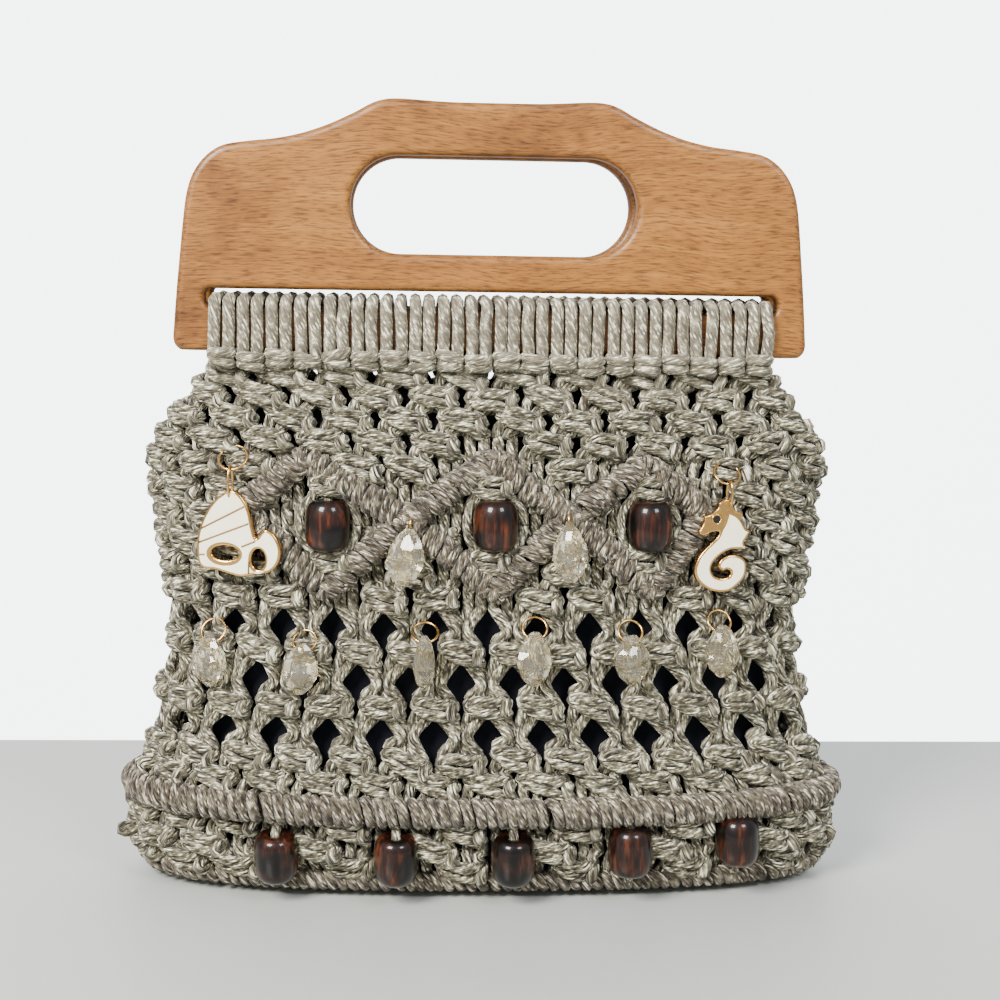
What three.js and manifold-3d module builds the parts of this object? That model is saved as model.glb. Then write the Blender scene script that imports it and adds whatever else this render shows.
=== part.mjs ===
import * as THREE from "three";
import { mergeVertices } from "three/addons/utils/BufferGeometryUtils.js";
import Module from "manifold-3d";

// A handbag of knotted cord hung from two wooden plate handles.
// Millimetres, +Z up, the front faces -Y, the flat base rests on z = 0.

const wasm = await Module();
wasm.setup();

// Sizes of the wooden handles
const handleWidth = 250;
const handleHeight = 98;
const handleThick = 9;
const handlesApart = 16;
const handleBottom = 218;
const handleEdgeCut = 1.8;
const gripLength = 112;
const gripHeight = 38;
const gripRise = 57.6;
const cordSlotEnd = 12.5;
const cordSlotHeight = 6.6;
const cordSlotRound = 1.2;
const railHeight = 17.6;

// Sizes of the knotted body
const bodyTop = 215;
const bodyWidth = 298;
const bodyDepth = 86;
const wall = 8;
const floorThick = 7;
const sideNotchBottom = 178;
const sideNotchHalf = 9;

// Cords, gaps and fits
const cord = 4.8;
const fit = 0.3;
const loose = 0.4;
const loopCount = 20;
const loopWidth = 10.4;
const loopEndGap = 1.6;

// Sizes of the trimmings
const beadWidth = 16.8;
const beadHeight = 20;
const beadHole = 5;
const beadCord = 4;
const knotWidth = 13;
const knotHeight = 5;
const knotDepth = 8;
const ringWire = 1;
const liningThick = 1.5;
const liningTop = 198;
const liningGap = 1.2;
const charmThick = 3.2;
const charmFrameRise = 14;
const sailHeight = 33.6;
const seahorseHeight = 36.8;
const dropHoleDown = 3;
const linkWide = 2.9;
const netHoleWidth = 11.5;
const netHoleHeight = 17;
const netBar = 9.1;
const ridgeHalf = 5.5;
const ridgeRise = 3;
const ridgeSink = 2;

// Sections of the body from the base up: height share of bodyTop, half width share,
// half depth share, middle in mm, squareness, and whether the inside follows the section
const sections = [
  { up: 0.0, wide: 0.86, deep: 0.66, middle: 1.5, square: 2.5, inside: false },
  { up: 0.025, wide: 0.945, deep: 0.84, middle: 1.5, square: 2.5, inside: true },
  { up: 0.09, wide: 1.0, deep: 0.985, middle: 1.4, square: 2.4, inside: false },
  { up: 0.155, wide: 0.975, deep: 0.965, middle: 0.9, square: 2.4, inside: true },
  { up: 0.17, wide: 0.994, deep: 1.03, middle: 0.8, square: 2.4, inside: false },
  { up: 0.2, wide: 0.982, deep: 1.02, middle: 0.7, square: 2.4, inside: false },
  { up: 0.215, wide: 0.952, deep: 0.945, middle: 0.6, square: 2.4, inside: false },
  { up: 0.27, wide: 0.928, deep: 0.92, middle: 0.2, square: 2.3, inside: false },
  { up: 0.47, wide: 0.87, deep: 0.82, middle: -1.0, square: 2.3, inside: true },
  { up: 0.62, wide: 0.888, deep: 0.785, middle: -0.8, square: 2.3, inside: false },
  { up: 0.77, wide: 0.917, deep: 0.725, middle: 0, square: 2.4, inside: true },
  { up: 0.83, wide: 0.922, deep: 0.66, middle: 0, square: 2.6, inside: false },
  { up: 0.88, wide: 0.892, deep: 0.585, middle: 0, square: 3, inside: true },
  { up: 0.935, wide: 0.81, deep: 0.48, middle: 0, square: 4.2, inside: false },
  { up: 1.0, wide: 0.768, deep: 0.42, middle: 0, square: 5, inside: true },
];

// Half outline of a handle plate from the bottom corner to the middle of the top,
// as shares of half its width and of its height
const handleOutline = [
  { out: 0.96, up: 0.0 },
  { out: 0.985, up: 0.008 },
  { out: 1.0, up: 0.04 },
  { out: 0.998, up: 0.1 },
  { out: 0.988, up: 0.25 },
  { out: 0.976, up: 0.4 },
  { out: 0.966, up: 0.52 },
  { out: 0.956, up: 0.61 },
  { out: 0.94, up: 0.68 },
  { out: 0.915, up: 0.735 },
  { out: 0.88, up: 0.78 },
  { out: 0.835, up: 0.81 },
  { out: 0.76, up: 0.826 },
  { out: 0.68, up: 0.838 },
  { out: 0.6, up: 0.86 },
  { out: 0.52, up: 0.895 },
  { out: 0.44, up: 0.942 },
  { out: 0.385, up: 0.98 },
  { out: 0.345, up: 0.996 },
  { out: 0.29, up: 1.0 },
  { out: 0.15, up: 0.991 },
];

// Diamond holes of the open net: height share of bodyTop, first hole as a share of half
// the body's width, number of holes
const netRows = [
  { up: 0.521, first: -0.6866, count: 11 },
  { up: 0.421, first: -0.7604, count: 12 },
  { up: 0.3186, first: -0.7067, count: 11 },
];

// Corners of the three diamonds: share of half the body's width, height share of bodyTop
const corners = {
  leftCorner: [-0.6711, 0.7256],
  leftTop: [-0.4899, 0.8233],
  leftFoot: [-0.4295, 0.586],
  leftCrossing: [-0.2268, 0.7163],
  middleTop: [0, 0.8233],
  rightCrossing: [0.2081, 0.7209],
  middleFoot: [0.0134, 0.5907],
  rightTop: [0.4027, 0.8186],
  rightCorner: [0.5805, 0.7302],
  rightFoot: [0.4329, 0.5907],
};

// Raised zigzag ridges, from corner to corner
const ridges = [
  [corners.leftTop, corners.leftCorner],
  [corners.leftCorner, corners.leftFoot],
  [corners.leftFoot, corners.leftCrossing],
  [corners.leftCrossing, corners.leftTop],
  [corners.leftCrossing, corners.middleTop],
  [corners.middleTop, corners.rightCrossing],
  [corners.rightCrossing, corners.middleFoot],
  [corners.middleFoot, corners.leftCrossing],
  [corners.rightCrossing, corners.rightTop],
  [corners.rightTop, corners.rightCorner],
  [corners.rightCorner, corners.rightFoot],
  [corners.rightFoot, corners.rightCrossing],
];

// Wooden beads: name, place as shares of half the body's width and of bodyTop,
// and the sides, over 1 and under -1, where a flat knot holds each
const beads = [
  { name: "bead_mid_1", across: -0.4282, up: 0.7051, knots: [-1, 1] },
  { name: "bead_mid_2", across: 0.0107, up: 0.7088, knots: [-1, 1] },
  { name: "bead_mid_3", across: 0.4195, up: 0.7079, knots: [-1, 1] },
  { name: "bead_low_1", across: -0.5611, up: 0.0912, knots: [1] },
  { name: "bead_low_2", across: -0.2423, up: 0.093, knots: [1] },
  { name: "bead_low_3", across: 0.0698, up: 0.093, knots: [1] },
  { name: "bead_low_4", across: 0.3846, up: 0.1047, knots: [1] },
  { name: "bead_low_5", across: 0.6812, up: 0.114, knots: [1] },
];

// Clear drops on jump rings: ring centre as shares, ring radius, whether it is seen edge on,
// distance of the drop's axis from the body, drop length, width, thickness, lean in its plane
const drops = [
  { name: "drop_1", across: -0.2114, up: 0.707,
    ring: 4.2, edge: true, out: 6.6, long: 22.5, wide: 14.5, thick: 7.6, lean: 8 },
  { name: "drop_2", across: 0.2007, up: 0.7163,
    ring: 4.2, edge: true, out: 6.6, long: 22.5, wide: 14, thick: 7.6, lean: -2 },
  { name: "drop_3", across: -0.7315, up: 0.5,
    ring: 5.1, edge: false, out: 5, long: 20.5, wide: 13.4, thick: 8.6, lean: 0 },
  { name: "drop_4", across: -0.4872, up: 0.4912,
    ring: 4.6, edge: false, out: 5, long: 20, wide: 13.6, thick: 8.6, lean: 4 },
  { name: "drop_5", across: -0.1711, up: 0.5126,
    ring: 5.1, edge: false, out: 7.2, long: 21.5, wide: 8.6, thick: 13, lean: 0 },
  { name: "drop_6", across: 0.1181, up: 0.5209,
    ring: 4.8, edge: false, out: 5, long: 21.5, wide: 13.4, thick: 8.6, lean: 2 },
  { name: "drop_7", across: 0.3732, up: 0.5135,
    ring: 4.8, edge: false, out: 5, long: 19.5, wide: 14.4, thick: 8.6, lean: 0 },
  { name: "drop_8", across: 0.6168, up: 0.5274,
    ring: 4.8, edge: false, out: 5, long: 21, wide: 13.6, thick: 8.6, lean: 0 },
];
const dropRows = [
  { down: 0.0, wide: 0.22 },
  { down: 0.1, wide: 0.52 },
  { down: 0.36, wide: 0.92 },
  { down: 0.6, wide: 1.0 },
  { down: 0.84, wide: 0.72 },
  { down: 1.0, wide: 0.24 },
];

// Enamel charms: ring centre as shares, ring radius, drop from the ring centre to the hole in
// the charm's top, and distance of the charm's middle from the body
const charms = [
  { name: "sail", across: -0.6752, up: 0.8233, ring: 5.6, hole: 15.6, out: 5.4 },
  { name: "seahorse", across: 0.6235, up: 0.8047, ring: 5.2, hole: 13.1, out: 5.4 },
];

// Outlines of the charms as shares of their height, from the hanging hole: right, up
const sailOutline = [
  [-0.065, 0.048], [0, 0.089], [0.071, 0.048], [0.173, -0.134], [0.268, -0.366], [0.315, -0.458],
  [0.423, -0.405], [0.548, -0.494], [0.601, -0.637], [0.524, -0.786], [0.375, -0.857],
  [0.119, -0.911], [-0.149, -0.911], [-0.345, -0.839], [-0.405, -0.673], [-0.369, -0.435],
  [-0.25, -0.19], [-0.131, -0.024],
];
const sailCuts = [
  { x: -0.054, z: -0.661, wide: 0.19, high: 0.089 },
  { x: 0.339, z: -0.673, wide: 0.086, high: 0.137 },
];
const seahorseOutline = [
  [-0.177, 0.049], [-0.082, 0.082], [0.043, 0.071], [0.13, 0.011], [0.201, -0.027],
  [0.152, -0.103], [0.207, -0.228], [0.234, -0.342], [0.179, -0.451], [0.103, -0.533],
  [0.12, -0.587], [0.207, -0.63], [0.255, -0.728], [0.207, -0.842], [0.071, -0.918],
  [-0.103, -0.913], [-0.228, -0.826], [-0.277, -0.685], [-0.234, -0.543], [-0.125, -0.402],
  [-0.098, -0.293], [-0.125, -0.245], [-0.239, -0.255], [-0.315, -0.315], [-0.348, -0.266],
  [-0.283, -0.179], [-0.234, -0.065],
];
const seahorseCut = { x: 0.043, z: -0.723, wide: 0.114, high: 0.082 };

const wood = new THREE.MeshStandardMaterial({ color: 0x9a6a3c, roughness: 0.55, metalness: 0 });
const cordGrey = new THREE.MeshStandardMaterial({ color: 0x9c988a, roughness: 0.95, metalness: 0 });
const cloth = new THREE.MeshStandardMaterial({ color: 0x14151c, roughness: 0.95, metalness: 0 });
const beadWood = new THREE.MeshStandardMaterial({ color: 0x3c1d16, roughness: 0.2, metalness: 0 });
const gilt = new THREE.MeshStandardMaterial({ color: 0xc8a45c, roughness: 0.3, metalness: 1 });
const enamel = new THREE.MeshStandardMaterial({ color: 0xefe6cf, roughness: 0.25, metalness: 0 });
const clear = new THREE.MeshStandardMaterial({ color: 0xf2efe6, roughness: 0.08, metalness: 0 });

// Joins a geometry into a closed solid
function solid(geometry) {
  const bare = geometry.clone();
  bare.deleteAttribute("normal");
  bare.deleteAttribute("uv");
  const merged = mergeVertices(bare, 1e-4);
  const mesh = new wasm.Mesh({
    numProp: 3,
    vertProperties: new Float32Array(merged.attributes.position.array),
    triVerts: new Uint32Array(merged.index.array),
  });
  return new wasm.Manifold(mesh);
}

// Turns a solid back into a named mesh with flat facets
function named(name, body, material) {
  const mesh = body.getMesh();
  const geometry = new THREE.BufferGeometry();
  const points = new Float32Array(mesh.vertProperties);
  geometry.setAttribute("position", new THREE.BufferAttribute(points, 3));
  geometry.setIndex(Array.from(mesh.triVerts));
  const flat = geometry.toNonIndexed();
  flat.computeVertexNormals();
  const piece = new THREE.Mesh(flat, material.clone());
  piece.name = name;
  return piece;
}

// A closed surface of rings of points, each ring with the same number of points,
// closed by flat ends, or joined last to first where it runs round
function loft(rings, round) {
  const sides = rings[0].length;
  const points = [];
  const faces = [];
  for (const ring of rings) {
    for (const p of ring) {
      points.push(p.x, p.y, p.z);
    }
  }
  const steps = round ? rings.length : rings.length - 1;
  for (let i = 0; i < steps; i += 1) {
    const next = (i + 1) % rings.length;
    for (let k = 0; k < sides; k += 1) {
      const a = i * sides + k;
      const b = i * sides + ((k + 1) % sides);
      const c = next * sides + ((k + 1) % sides);
      const d = next * sides + k;
      faces.push(a, b, c, a, c, d);
    }
  }
  if (!round) {
    const last = (rings.length - 1) * sides;
    for (let k = 1; k < sides - 1; k += 1) {
      faces.push(0, k + 1, k);
      faces.push(last, last + k, last + k + 1);
    }
  }
  // Six times the signed volume tells whether the faces point out
  let volume = 0;
  for (let k = 0; k < faces.length; k += 3) {
    const [a, b, c] = [0, 1, 2].map((j) => new THREE.Vector3().fromArray(points, faces[k + j] * 3));
    volume += a.dot(b.cross(c));
  }
  if (volume < 0) {
    for (let k = 0; k < faces.length; k += 3) {
      const swap = faces[k + 1];
      faces[k + 1] = faces[k + 2];
      faces[k + 2] = swap;
    }
  }
  const geometry = new THREE.BufferGeometry();
  geometry.setAttribute("position", new THREE.Float32BufferAttribute(points, 3));
  geometry.setIndex(faces);
  return geometry;
}

// A flat shape drawn in x and z, extruded through y from yFrom towards -y
function slab(shape, yFrom, thick, cut) {
  const geometry = new THREE.ExtrudeGeometry(shape, {
    depth: thick - 2 * cut,
    steps: 1,
    curveSegments: 6,
    bevelEnabled: cut > 0,
    bevelThickness: cut,
    bevelSize: cut,
    bevelOffset: -cut,
    bevelSegments: 1,
  });
  geometry.translate(0, 0, cut);
  geometry.rotateX(Math.PI / 2);
  geometry.translate(0, yFrom, 0);
  return geometry;
}

const innerSections = sections.filter((s) => s.inside);

// The sizes of the body at a height, taken along a table of sections
function sectionAt(z, table) {
  const up = Math.min(Math.max(z / bodyTop, 0), 1);
  let i = 0;
  while (i < table.length - 2 && table[i + 1].up < up) {
    i += 1;
  }
  const low = table[i];
  const high = table[i + 1];
  const part = (up - low.up) / (high.up - low.up);
  const mix = (key) => low[key] + (high[key] - low[key]) * part;
  return {
    halfWide: mix("wide") * bodyWidth / 2,
    halfDeep: mix("deep") * bodyDepth / 2,
    middle: mix("middle"),
    square: mix("square"),
  };
}

// The front of the body: y of the outer surface at x and z
function frontAt(x, z) {
  const s = sectionAt(z, sections);
  const share = Math.min(Math.abs(x - s.middle) / s.halfWide, 0.999);
  return -s.halfDeep * Math.pow(1 - Math.pow(share, s.square), 1 / s.square);
}

// A frame on the front: X along the surface, Y into the body, Z up along the surface
function frameAt(x, z) {
  const across = new THREE.Vector3(2, frontAt(x + 1, z) - frontAt(x - 1, z), 0).normalize();
  const up = new THREE.Vector3(0, frontAt(x, z + 3) - frontAt(x, z - 3), 6).normalize();
  const inward = new THREE.Vector3().crossVectors(up, across).normalize();
  const rise = new THREE.Vector3().crossVectors(across, inward).normalize();
  const frame = new THREE.Matrix4().makeBasis(across, inward, rise);
  frame.setPosition(x, frontAt(x, z), z);
  return frame;
}

// A solid from a geometry made in a frame's own axes
function placed(geometry, frame) {
  return solid(geometry.clone().applyMatrix4(frame));
}

// Points round one section of the body, moved in by a distance
function sectionRing(z, inset, sides, table) {
  const s = sectionAt(z, table);
  const ring = [];
  for (let k = 0; k < sides; k += 1) {
    const angle = (k / sides) * 2 * Math.PI;
    const c = Math.cos(angle);
    const d = Math.sin(angle);
    const power = 2 / s.square;
    const x = Math.sign(c) * Math.pow(Math.abs(c), power) * (s.halfWide - inset);
    const y = Math.sign(d) * Math.pow(Math.abs(d), power) * (s.halfDeep - inset);
    ring.push(new THREE.Vector3(s.middle + x, y, z));
  }
  return ring;
}

// A solid that fills the body up to a height, moved in by a distance
function bodySolid(zFrom, zTo, inset, sides, extra, table) {
  const rings = [sectionRing(zFrom, inset, sides, table)];
  for (const s of table) {
    const z = s.up * bodyTop;
    if (z > zFrom + 1 && z < zTo - 1) {
      rings.push(sectionRing(z, inset, sides, table));
    }
  }
  rings.push(sectionRing(zTo, inset, sides, table));
  if (extra > 0) {
    const last = sectionRing(zTo, inset, sides, table);
    rings.push(last.map((p) => new THREE.Vector3(p.x, p.y, p.z + extra)));
  }
  return loft(rings, false);
}

// An oval of wire in a frame's own axes: flat to the frame or edge on, tipped about X
function wireRing(halfWide, halfHigh, wire, tip, edge) {
  const turns = 10;
  const sides = 5;
  const rings = [];
  for (let i = 0; i < turns; i += 1) {
    const angle = ((i + 0.5) / turns) * 2 * Math.PI;
    const middle = new THREE.Vector3(Math.cos(angle) * halfWide, 0, Math.sin(angle) * halfHigh);
    const away = new THREE.Vector3(Math.cos(angle) * halfHigh, 0, Math.sin(angle) * halfWide);
    away.normalize();
    const ring = [];
    for (let k = 0; k < sides; k += 1) {
      const turn = (k / sides) * 2 * Math.PI;
      const p = middle.clone().addScaledVector(away, (Math.cos(turn) * wire) / 2);
      p.y = (Math.sin(turn) * wire) / 2;
      ring.push(p);
    }
    rings.push(ring);
  }
  const geometry = loft(rings, true);
  if (edge) {
    geometry.rotateZ(Math.PI / 2);
  }
  return geometry.rotateX(-tip);
}

// Handle plates
const cordSlotLength = handleWidth - 2 * cordSlotEnd;

function slotPath(length, height, rise, round, steps) {
  const path = new THREE.Path();
  const corners = [
    { x: length / 2 - round, z: rise - height / 2 + round, from: -90 },
    { x: length / 2 - round, z: rise + height / 2 - round, from: 0 },
    { x: -length / 2 + round, z: rise + height / 2 - round, from: 90 },
    { x: -length / 2 + round, z: rise - height / 2 + round, from: 180 },
  ];
  for (const corner of corners) {
    for (let k = 0; k <= steps; k += 1) {
      const angle = THREE.MathUtils.degToRad(corner.from + (90 * k) / steps);
      const x = corner.x + round * Math.cos(angle);
      const z = corner.z + round * Math.sin(angle);
      if (path.curves.length === 0 && k === 0) {
        path.moveTo(x, z);
      } else {
        path.lineTo(x, z);
      }
    }
  }
  path.closePath();
  return path;
}

function handlePlate(yFrom) {
  const shape = new THREE.Shape();
  const points = [];
  for (const p of handleOutline) {
    points.push([p.out * handleWidth / 2, p.up * handleHeight]);
  }
  const left = points.map(([x, z]) => [-x, z]).reverse();
  const all = [...points, ...left];
  shape.moveTo(all[0][0], all[0][1]);
  for (const [x, z] of all.slice(1)) {
    shape.lineTo(x, z);
  }
  shape.closePath();
  const gripRound = gripHeight / 2 - 0.05;
  shape.holes.push(slotPath(gripLength, gripHeight, gripRise, gripRound, 5));
  const slotRise = railHeight + cordSlotHeight / 2;
  shape.holes.push(slotPath(cordSlotLength, cordSlotHeight, slotRise, cordSlotRound, 1));
  return solid(slab(shape, yFrom, handleThick, handleEdgeCut).translate(0, 0, handleBottom));
}

const handleMiddle = handlesApart / 2 + handleThick / 2;
const frontHandle = handlePlate(-handlesApart / 2);
const backHandle = handlePlate(handlesApart / 2 + handleThick);

// Knotted body: a hollow shell with a flat base
const bodySides = 28;
const innerSides = 20;
const outer = solid(bodySolid(0, bodyTop, 0, bodySides, 0, sections));
const inner = solid(bodySolid(floorThick, bodyTop, wall, innerSides, 5, innerSections));
let shell = outer.subtract(inner);

// The sides open in a notch below the handles
const notch = new THREE.Shape();
notch.moveTo(0, sideNotchBottom);
notch.lineTo(sideNotchHalf, bodyTop + 5);
notch.lineTo(-sideNotchHalf, bodyTop + 5);
notch.closePath();
const notchPrism = slab(notch, bodyWidth, 2 * bodyWidth, 0).rotateZ(Math.PI / 2);
shell = shell.subtract(solid(notchPrism));

// Open net: rows of diamond holes through the front and the back
const netPitch = netHoleWidth + netBar;
for (const row of netRows) {
  const z = row.up * bodyTop;
  for (let k = 0; k < row.count; k += 1) {
    const x = (row.first * bodyWidth) / 2 + k * netPitch;
    const diamond = new THREE.Shape();
    diamond.moveTo(x - netHoleWidth / 2, z);
    diamond.lineTo(x, z - netHoleHeight / 2);
    diamond.lineTo(x + netHoleWidth / 2, z);
    diamond.lineTo(x, z + netHoleHeight / 2);
    diamond.closePath();
    shell = shell.subtract(solid(slab(diamond, bodyDepth, 2 * bodyDepth, 0)));
  }
}

// Loops of doubled cord round a rail, and the rolled bars under it
function cordLoop(x, y) {
  const near = handleThick / 2 + fit;
  const far = near + cord;
  const low = handleBottom - fit;
  const high = handleBottom + railHeight + fit;
  const shape = new THREE.Shape();
  shape.moveTo(-far, low - cord);
  shape.lineTo(far, low - cord);
  shape.lineTo(far, high + cord);
  shape.lineTo(-far, high + cord);
  shape.closePath();
  const hole = new THREE.Path();
  hole.moveTo(-near, low);
  hole.lineTo(near, low);
  hole.lineTo(near, high);
  hole.lineTo(-near, high);
  hole.closePath();
  shape.holes.push(hole);
  const band = slab(shape, loopWidth / 2, loopWidth, 0).rotateZ(Math.PI / 2);
  return solid(band.translate(x, y, 0));
}

const loopPitch = (cordSlotLength - loopWidth - 2 * loopEndGap) / (loopCount - 1);

function loopRow(y) {
  let row = null;
  for (let k = 0; k < loopCount; k += 1) {
    const x = (k - (loopCount - 1) / 2) * loopPitch;
    const loop = cordLoop(x, y);
    row = row ? row.add(loop) : loop;
  }
  return row;
}

// The part of the shell on one side of the seam
const halfBox = new THREE.BoxGeometry(2 * bodyWidth, 2 * bodyDepth, 4 * bodyTop);
const frontHalf = solid(halfBox.clone().translate(0, -bodyDepth - fit / 2, 0));
const backHalf = solid(halfBox.clone().translate(0, bodyDepth + fit / 2, 0));
let frontPanel = shell.intersect(frontHalf);
let backPanel = shell.intersect(backHalf);
frontPanel = frontPanel.add(loopRow(-handleMiddle));
backPanel = backPanel.add(loopRow(handleMiddle));

// Ridges of cord wound over a carrier, half sunk in the front
const ridgeProfile = [
  { side: -1, deep: ridgeSink },
  { side: 1, deep: ridgeSink },
  { side: 0.6, deep: -ridgeRise },
  { side: -0.6, deep: -ridgeRise },
];

function ridgeBar(from, to) {
  const steps = 2;
  const rings = [];
  const start = [(from[0] * bodyWidth) / 2, from[1] * bodyTop];
  const dx = (to[0] * bodyWidth) / 2 - start[0];
  const dz = to[1] * bodyTop - start[1];
  const length = Math.hypot(dx, dz);
  for (let i = 0; i <= steps; i += 1) {
    const x = start[0] + (dx * i) / steps;
    const z = start[1] + (dz * i) / steps;
    const frame = frameAt(x, z);
    const ring = [];
    for (const corner of ridgeProfile) {
      const side = corner.side * ridgeHalf;
      const p = new THREE.Vector3((-side * dz) / length, corner.deep, (side * dx) / length);
      ring.push(p.applyMatrix4(frame));
    }
    rings.push(ring);
  }
  return loft(rings, false);
}

for (const [from, to] of ridges) {
  frontPanel = frontPanel.add(solid(ridgeBar(from, to)));
}

// Wooden beads on a cord in a window of the front, with a knot above and below
const pieces = [];
const beadOut = beadWidth / 2 - wall + 0.5 + fit;
for (const bead of beads) {
  const frame = frameAt((bead.across * bodyWidth) / 2, bead.up * bodyTop);
  const gap = fit + loose;
  const windowWide = beadWidth + 2 * gap;
  const windowHigh = beadHeight + 2 * gap;
  const windowBox = new THREE.BoxGeometry(windowWide, 40, windowHigh);
  frontPanel = frontPanel.subtract(placed(windowBox, frame));
  for (const side of bead.knots) {
    const knot = new THREE.BoxGeometry(knotWidth, knotDepth, knotHeight);
    const rise = side * (windowHigh / 2 + knotHeight / 2);
    frontPanel = frontPanel.add(placed(knot.translate(0, 0, rise), frame));
  }
  const strand = new THREE.CylinderGeometry(beadCord / 2, beadCord / 2, windowHigh + knotHeight, 6);
  strand.rotateX(Math.PI / 2);
  frontPanel = frontPanel.add(placed(strand.translate(0, -beadOut, 0), frame));
  const profile = [];
  const holeR = beadHole / 2;
  const r = beadWidth / 2;
  const h = beadHeight / 2;
  profile.push(new THREE.Vector2(holeR, -h));
  profile.push(new THREE.Vector2(r * 0.72, -h));
  profile.push(new THREE.Vector2(r * 0.97, -h * 0.45));
  profile.push(new THREE.Vector2(r * 0.97, h * 0.45));
  profile.push(new THREE.Vector2(r * 0.72, h));
  profile.push(new THREE.Vector2(holeR, h));
  profile.push(new THREE.Vector2(holeR, -h));
  const lathe = new THREE.LatheGeometry(profile, 12);
  lathe.rotateX(Math.PI / 2);
  const barrel = lathe.translate(0, -beadOut, 0);
  pieces.push(named(bead.name, placed(barrel, frame), beadWood));
}

// A clear drop cut with eight sides, a flat table in front, hung from its top
function cutDrop(drop, top) {
  const rings = [];
  for (const row of dropRows) {
    const ring = [];
    for (let k = 0; k < 8; k += 1) {
      const angle = ((k + 0.5) / 8) * 2 * Math.PI;
      const grow = 1 / Math.cos(Math.PI / 8);
      const x = Math.cos(angle) * row.wide * drop.wide * 0.5 * grow;
      const y = Math.sin(angle) * row.wide * drop.thick * 0.5 * grow;
      ring.push(new THREE.Vector3(x, y, -row.down * drop.long));
    }
    rings.push(ring);
  }
  const body = loft(rings, false);
  body.rotateY(THREE.MathUtils.degToRad(drop.lean));
  return body.translate(0, -drop.out, top);
}

for (const drop of drops) {
  const frame = frameAt((drop.across * bodyWidth) / 2, drop.up * bodyTop);
  const hangOut = drop.edge ? drop.out - 1.4 : drop.out - 1;
  const backIn = drop.edge ? -hangOut + drop.ring * 1.1 : 0;
  const tip = drop.edge ? 0 : Math.asin((hangOut + 1.6) / (2 * drop.ring));
  const centre = drop.edge ? backIn : -hangOut + drop.ring * Math.sin(tip);
  const low = drop.edge ? -drop.ring * 0.9 : -drop.ring * Math.cos(tip);
  const ring = wireRing(drop.ring, drop.ring, ringWire, tip, drop.edge).translate(0, centre, 0);
  const around = wireRing(drop.ring, drop.ring, ringWire + 2 * loose, tip, drop.edge);
  const channel = placed(around.translate(0, centre, 0), frame);
  const body = placed(cutDrop(drop, low + dropHoleDown), frame).subtract(channel);
  frontPanel = frontPanel.subtract(channel);
  pieces.push(named(drop.name.replace("drop", "drop_ring"), placed(ring, frame), gilt));
  pieces.push(named(drop.name, body, clear));
}

// Enamel charms on a ring and a long link
function charmShape(points, cuts, size) {
  const shape = new THREE.Shape();
  shape.moveTo(points[0][0] * size, points[0][1] * size);
  for (const [x, z] of points.slice(1)) {
    shape.lineTo(x * size, z * size);
  }
  shape.closePath();
  for (const cut of cuts) {
    const path = new THREE.Path();
    for (let k = 0; k < 10; k += 1) {
      const angle = (k / 10) * 2 * Math.PI;
      const x = (cut.x + Math.cos(angle) * cut.wide) * size;
      const z = (cut.z + Math.sin(angle) * cut.high) * size;
      if (k === 0) {
        path.moveTo(x, z);
      } else {
        path.lineTo(x, z);
      }
    }
    path.closePath();
    shape.holes.push(path);
  }
  return shape;
}

const charmShapes = {
  sail: charmShape(sailOutline, sailCuts, sailHeight),
  seahorse: charmShape(seahorseOutline, [seahorseCut], seahorseHeight),
};

for (const charm of charms) {
  const up = charmFrameRise;
  const frame = frameAt((charm.across * bodyWidth) / 2, charm.up * bodyTop - up);
  const tip = Math.asin((charm.out + 1.6) / (2 * charm.ring));
  const low = up - charm.ring * Math.cos(tip);
  const centre = -charm.out + charm.ring * Math.sin(tip);
  const hole = up - charm.hole;
  const linkTop = low + ringWire + loose;
  const linkHalf = (linkTop - hole) / 2;
  const linkMiddle = hole + linkHalf;
  const ring = wireRing(charm.ring, charm.ring, ringWire, tip, false).translate(0, centre, up);
  const around = wireRing(charm.ring, charm.ring, ringWire + 2 * loose, tip, false);
  const link = wireRing(linkWide, linkHalf, ringWire, 0, true);
  const linkAround = wireRing(linkWide, linkHalf, ringWire + 2 * loose, 0, true);
  link.translate(0, -charm.out, linkMiddle);
  linkAround.translate(0, -charm.out, linkMiddle);
  frontPanel = frontPanel.subtract(placed(around.translate(0, centre, up), frame));
  const blank = slab(charmShapes[charm.name], charmThick / 2, charmThick, 0);
  const plate = placed(blank.translate(0, -charm.out, hole), frame);
  const drilled = plate.subtract(placed(linkAround, frame));
  pieces.push(named(`charm_${charm.name}`, drilled, enamel));
  pieces.push(named(`ring_${charm.name}`, placed(ring, frame), gilt));
  pieces.push(named(`link_${charm.name}`, placed(link, frame), gilt));
}

// Lining: an open pouch just inside the shell
const skin = wall + liningGap;
const skinFloor = floorThick + fit;
const skinOut = solid(bodySolid(skinFloor, liningTop, skin, innerSides, 0, innerSections));
const skinRise = skinFloor + liningThick;
const skinBack = skin + liningThick;
const skinIn = solid(bodySolid(skinRise, liningTop, skinBack, innerSides, 5, innerSections));
const pouch = skinOut.subtract(skinIn);

const bag = new THREE.Group();
bag.name = "wooden_handle_bag";
bag.add(named("front_handle", frontHandle, wood));
bag.add(named("back_handle", backHandle, wood));
bag.add(named("front_panel", frontPanel, cordGrey));
bag.add(named("back_panel", backPanel, cordGrey));
bag.add(named("lining", pouch, cloth));
for (const piece of pieces) {
  bag.add(piece);
}

// The origin is the middle of the bag's box, at its base
const middle = new THREE.Box3().setFromObject(bag).getCenter(new THREE.Vector3());
for (const piece of bag.children) {
  piece.geometry.translate(-middle.x, -middle.y, 0);
}

export default bag;
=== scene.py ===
import math

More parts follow.
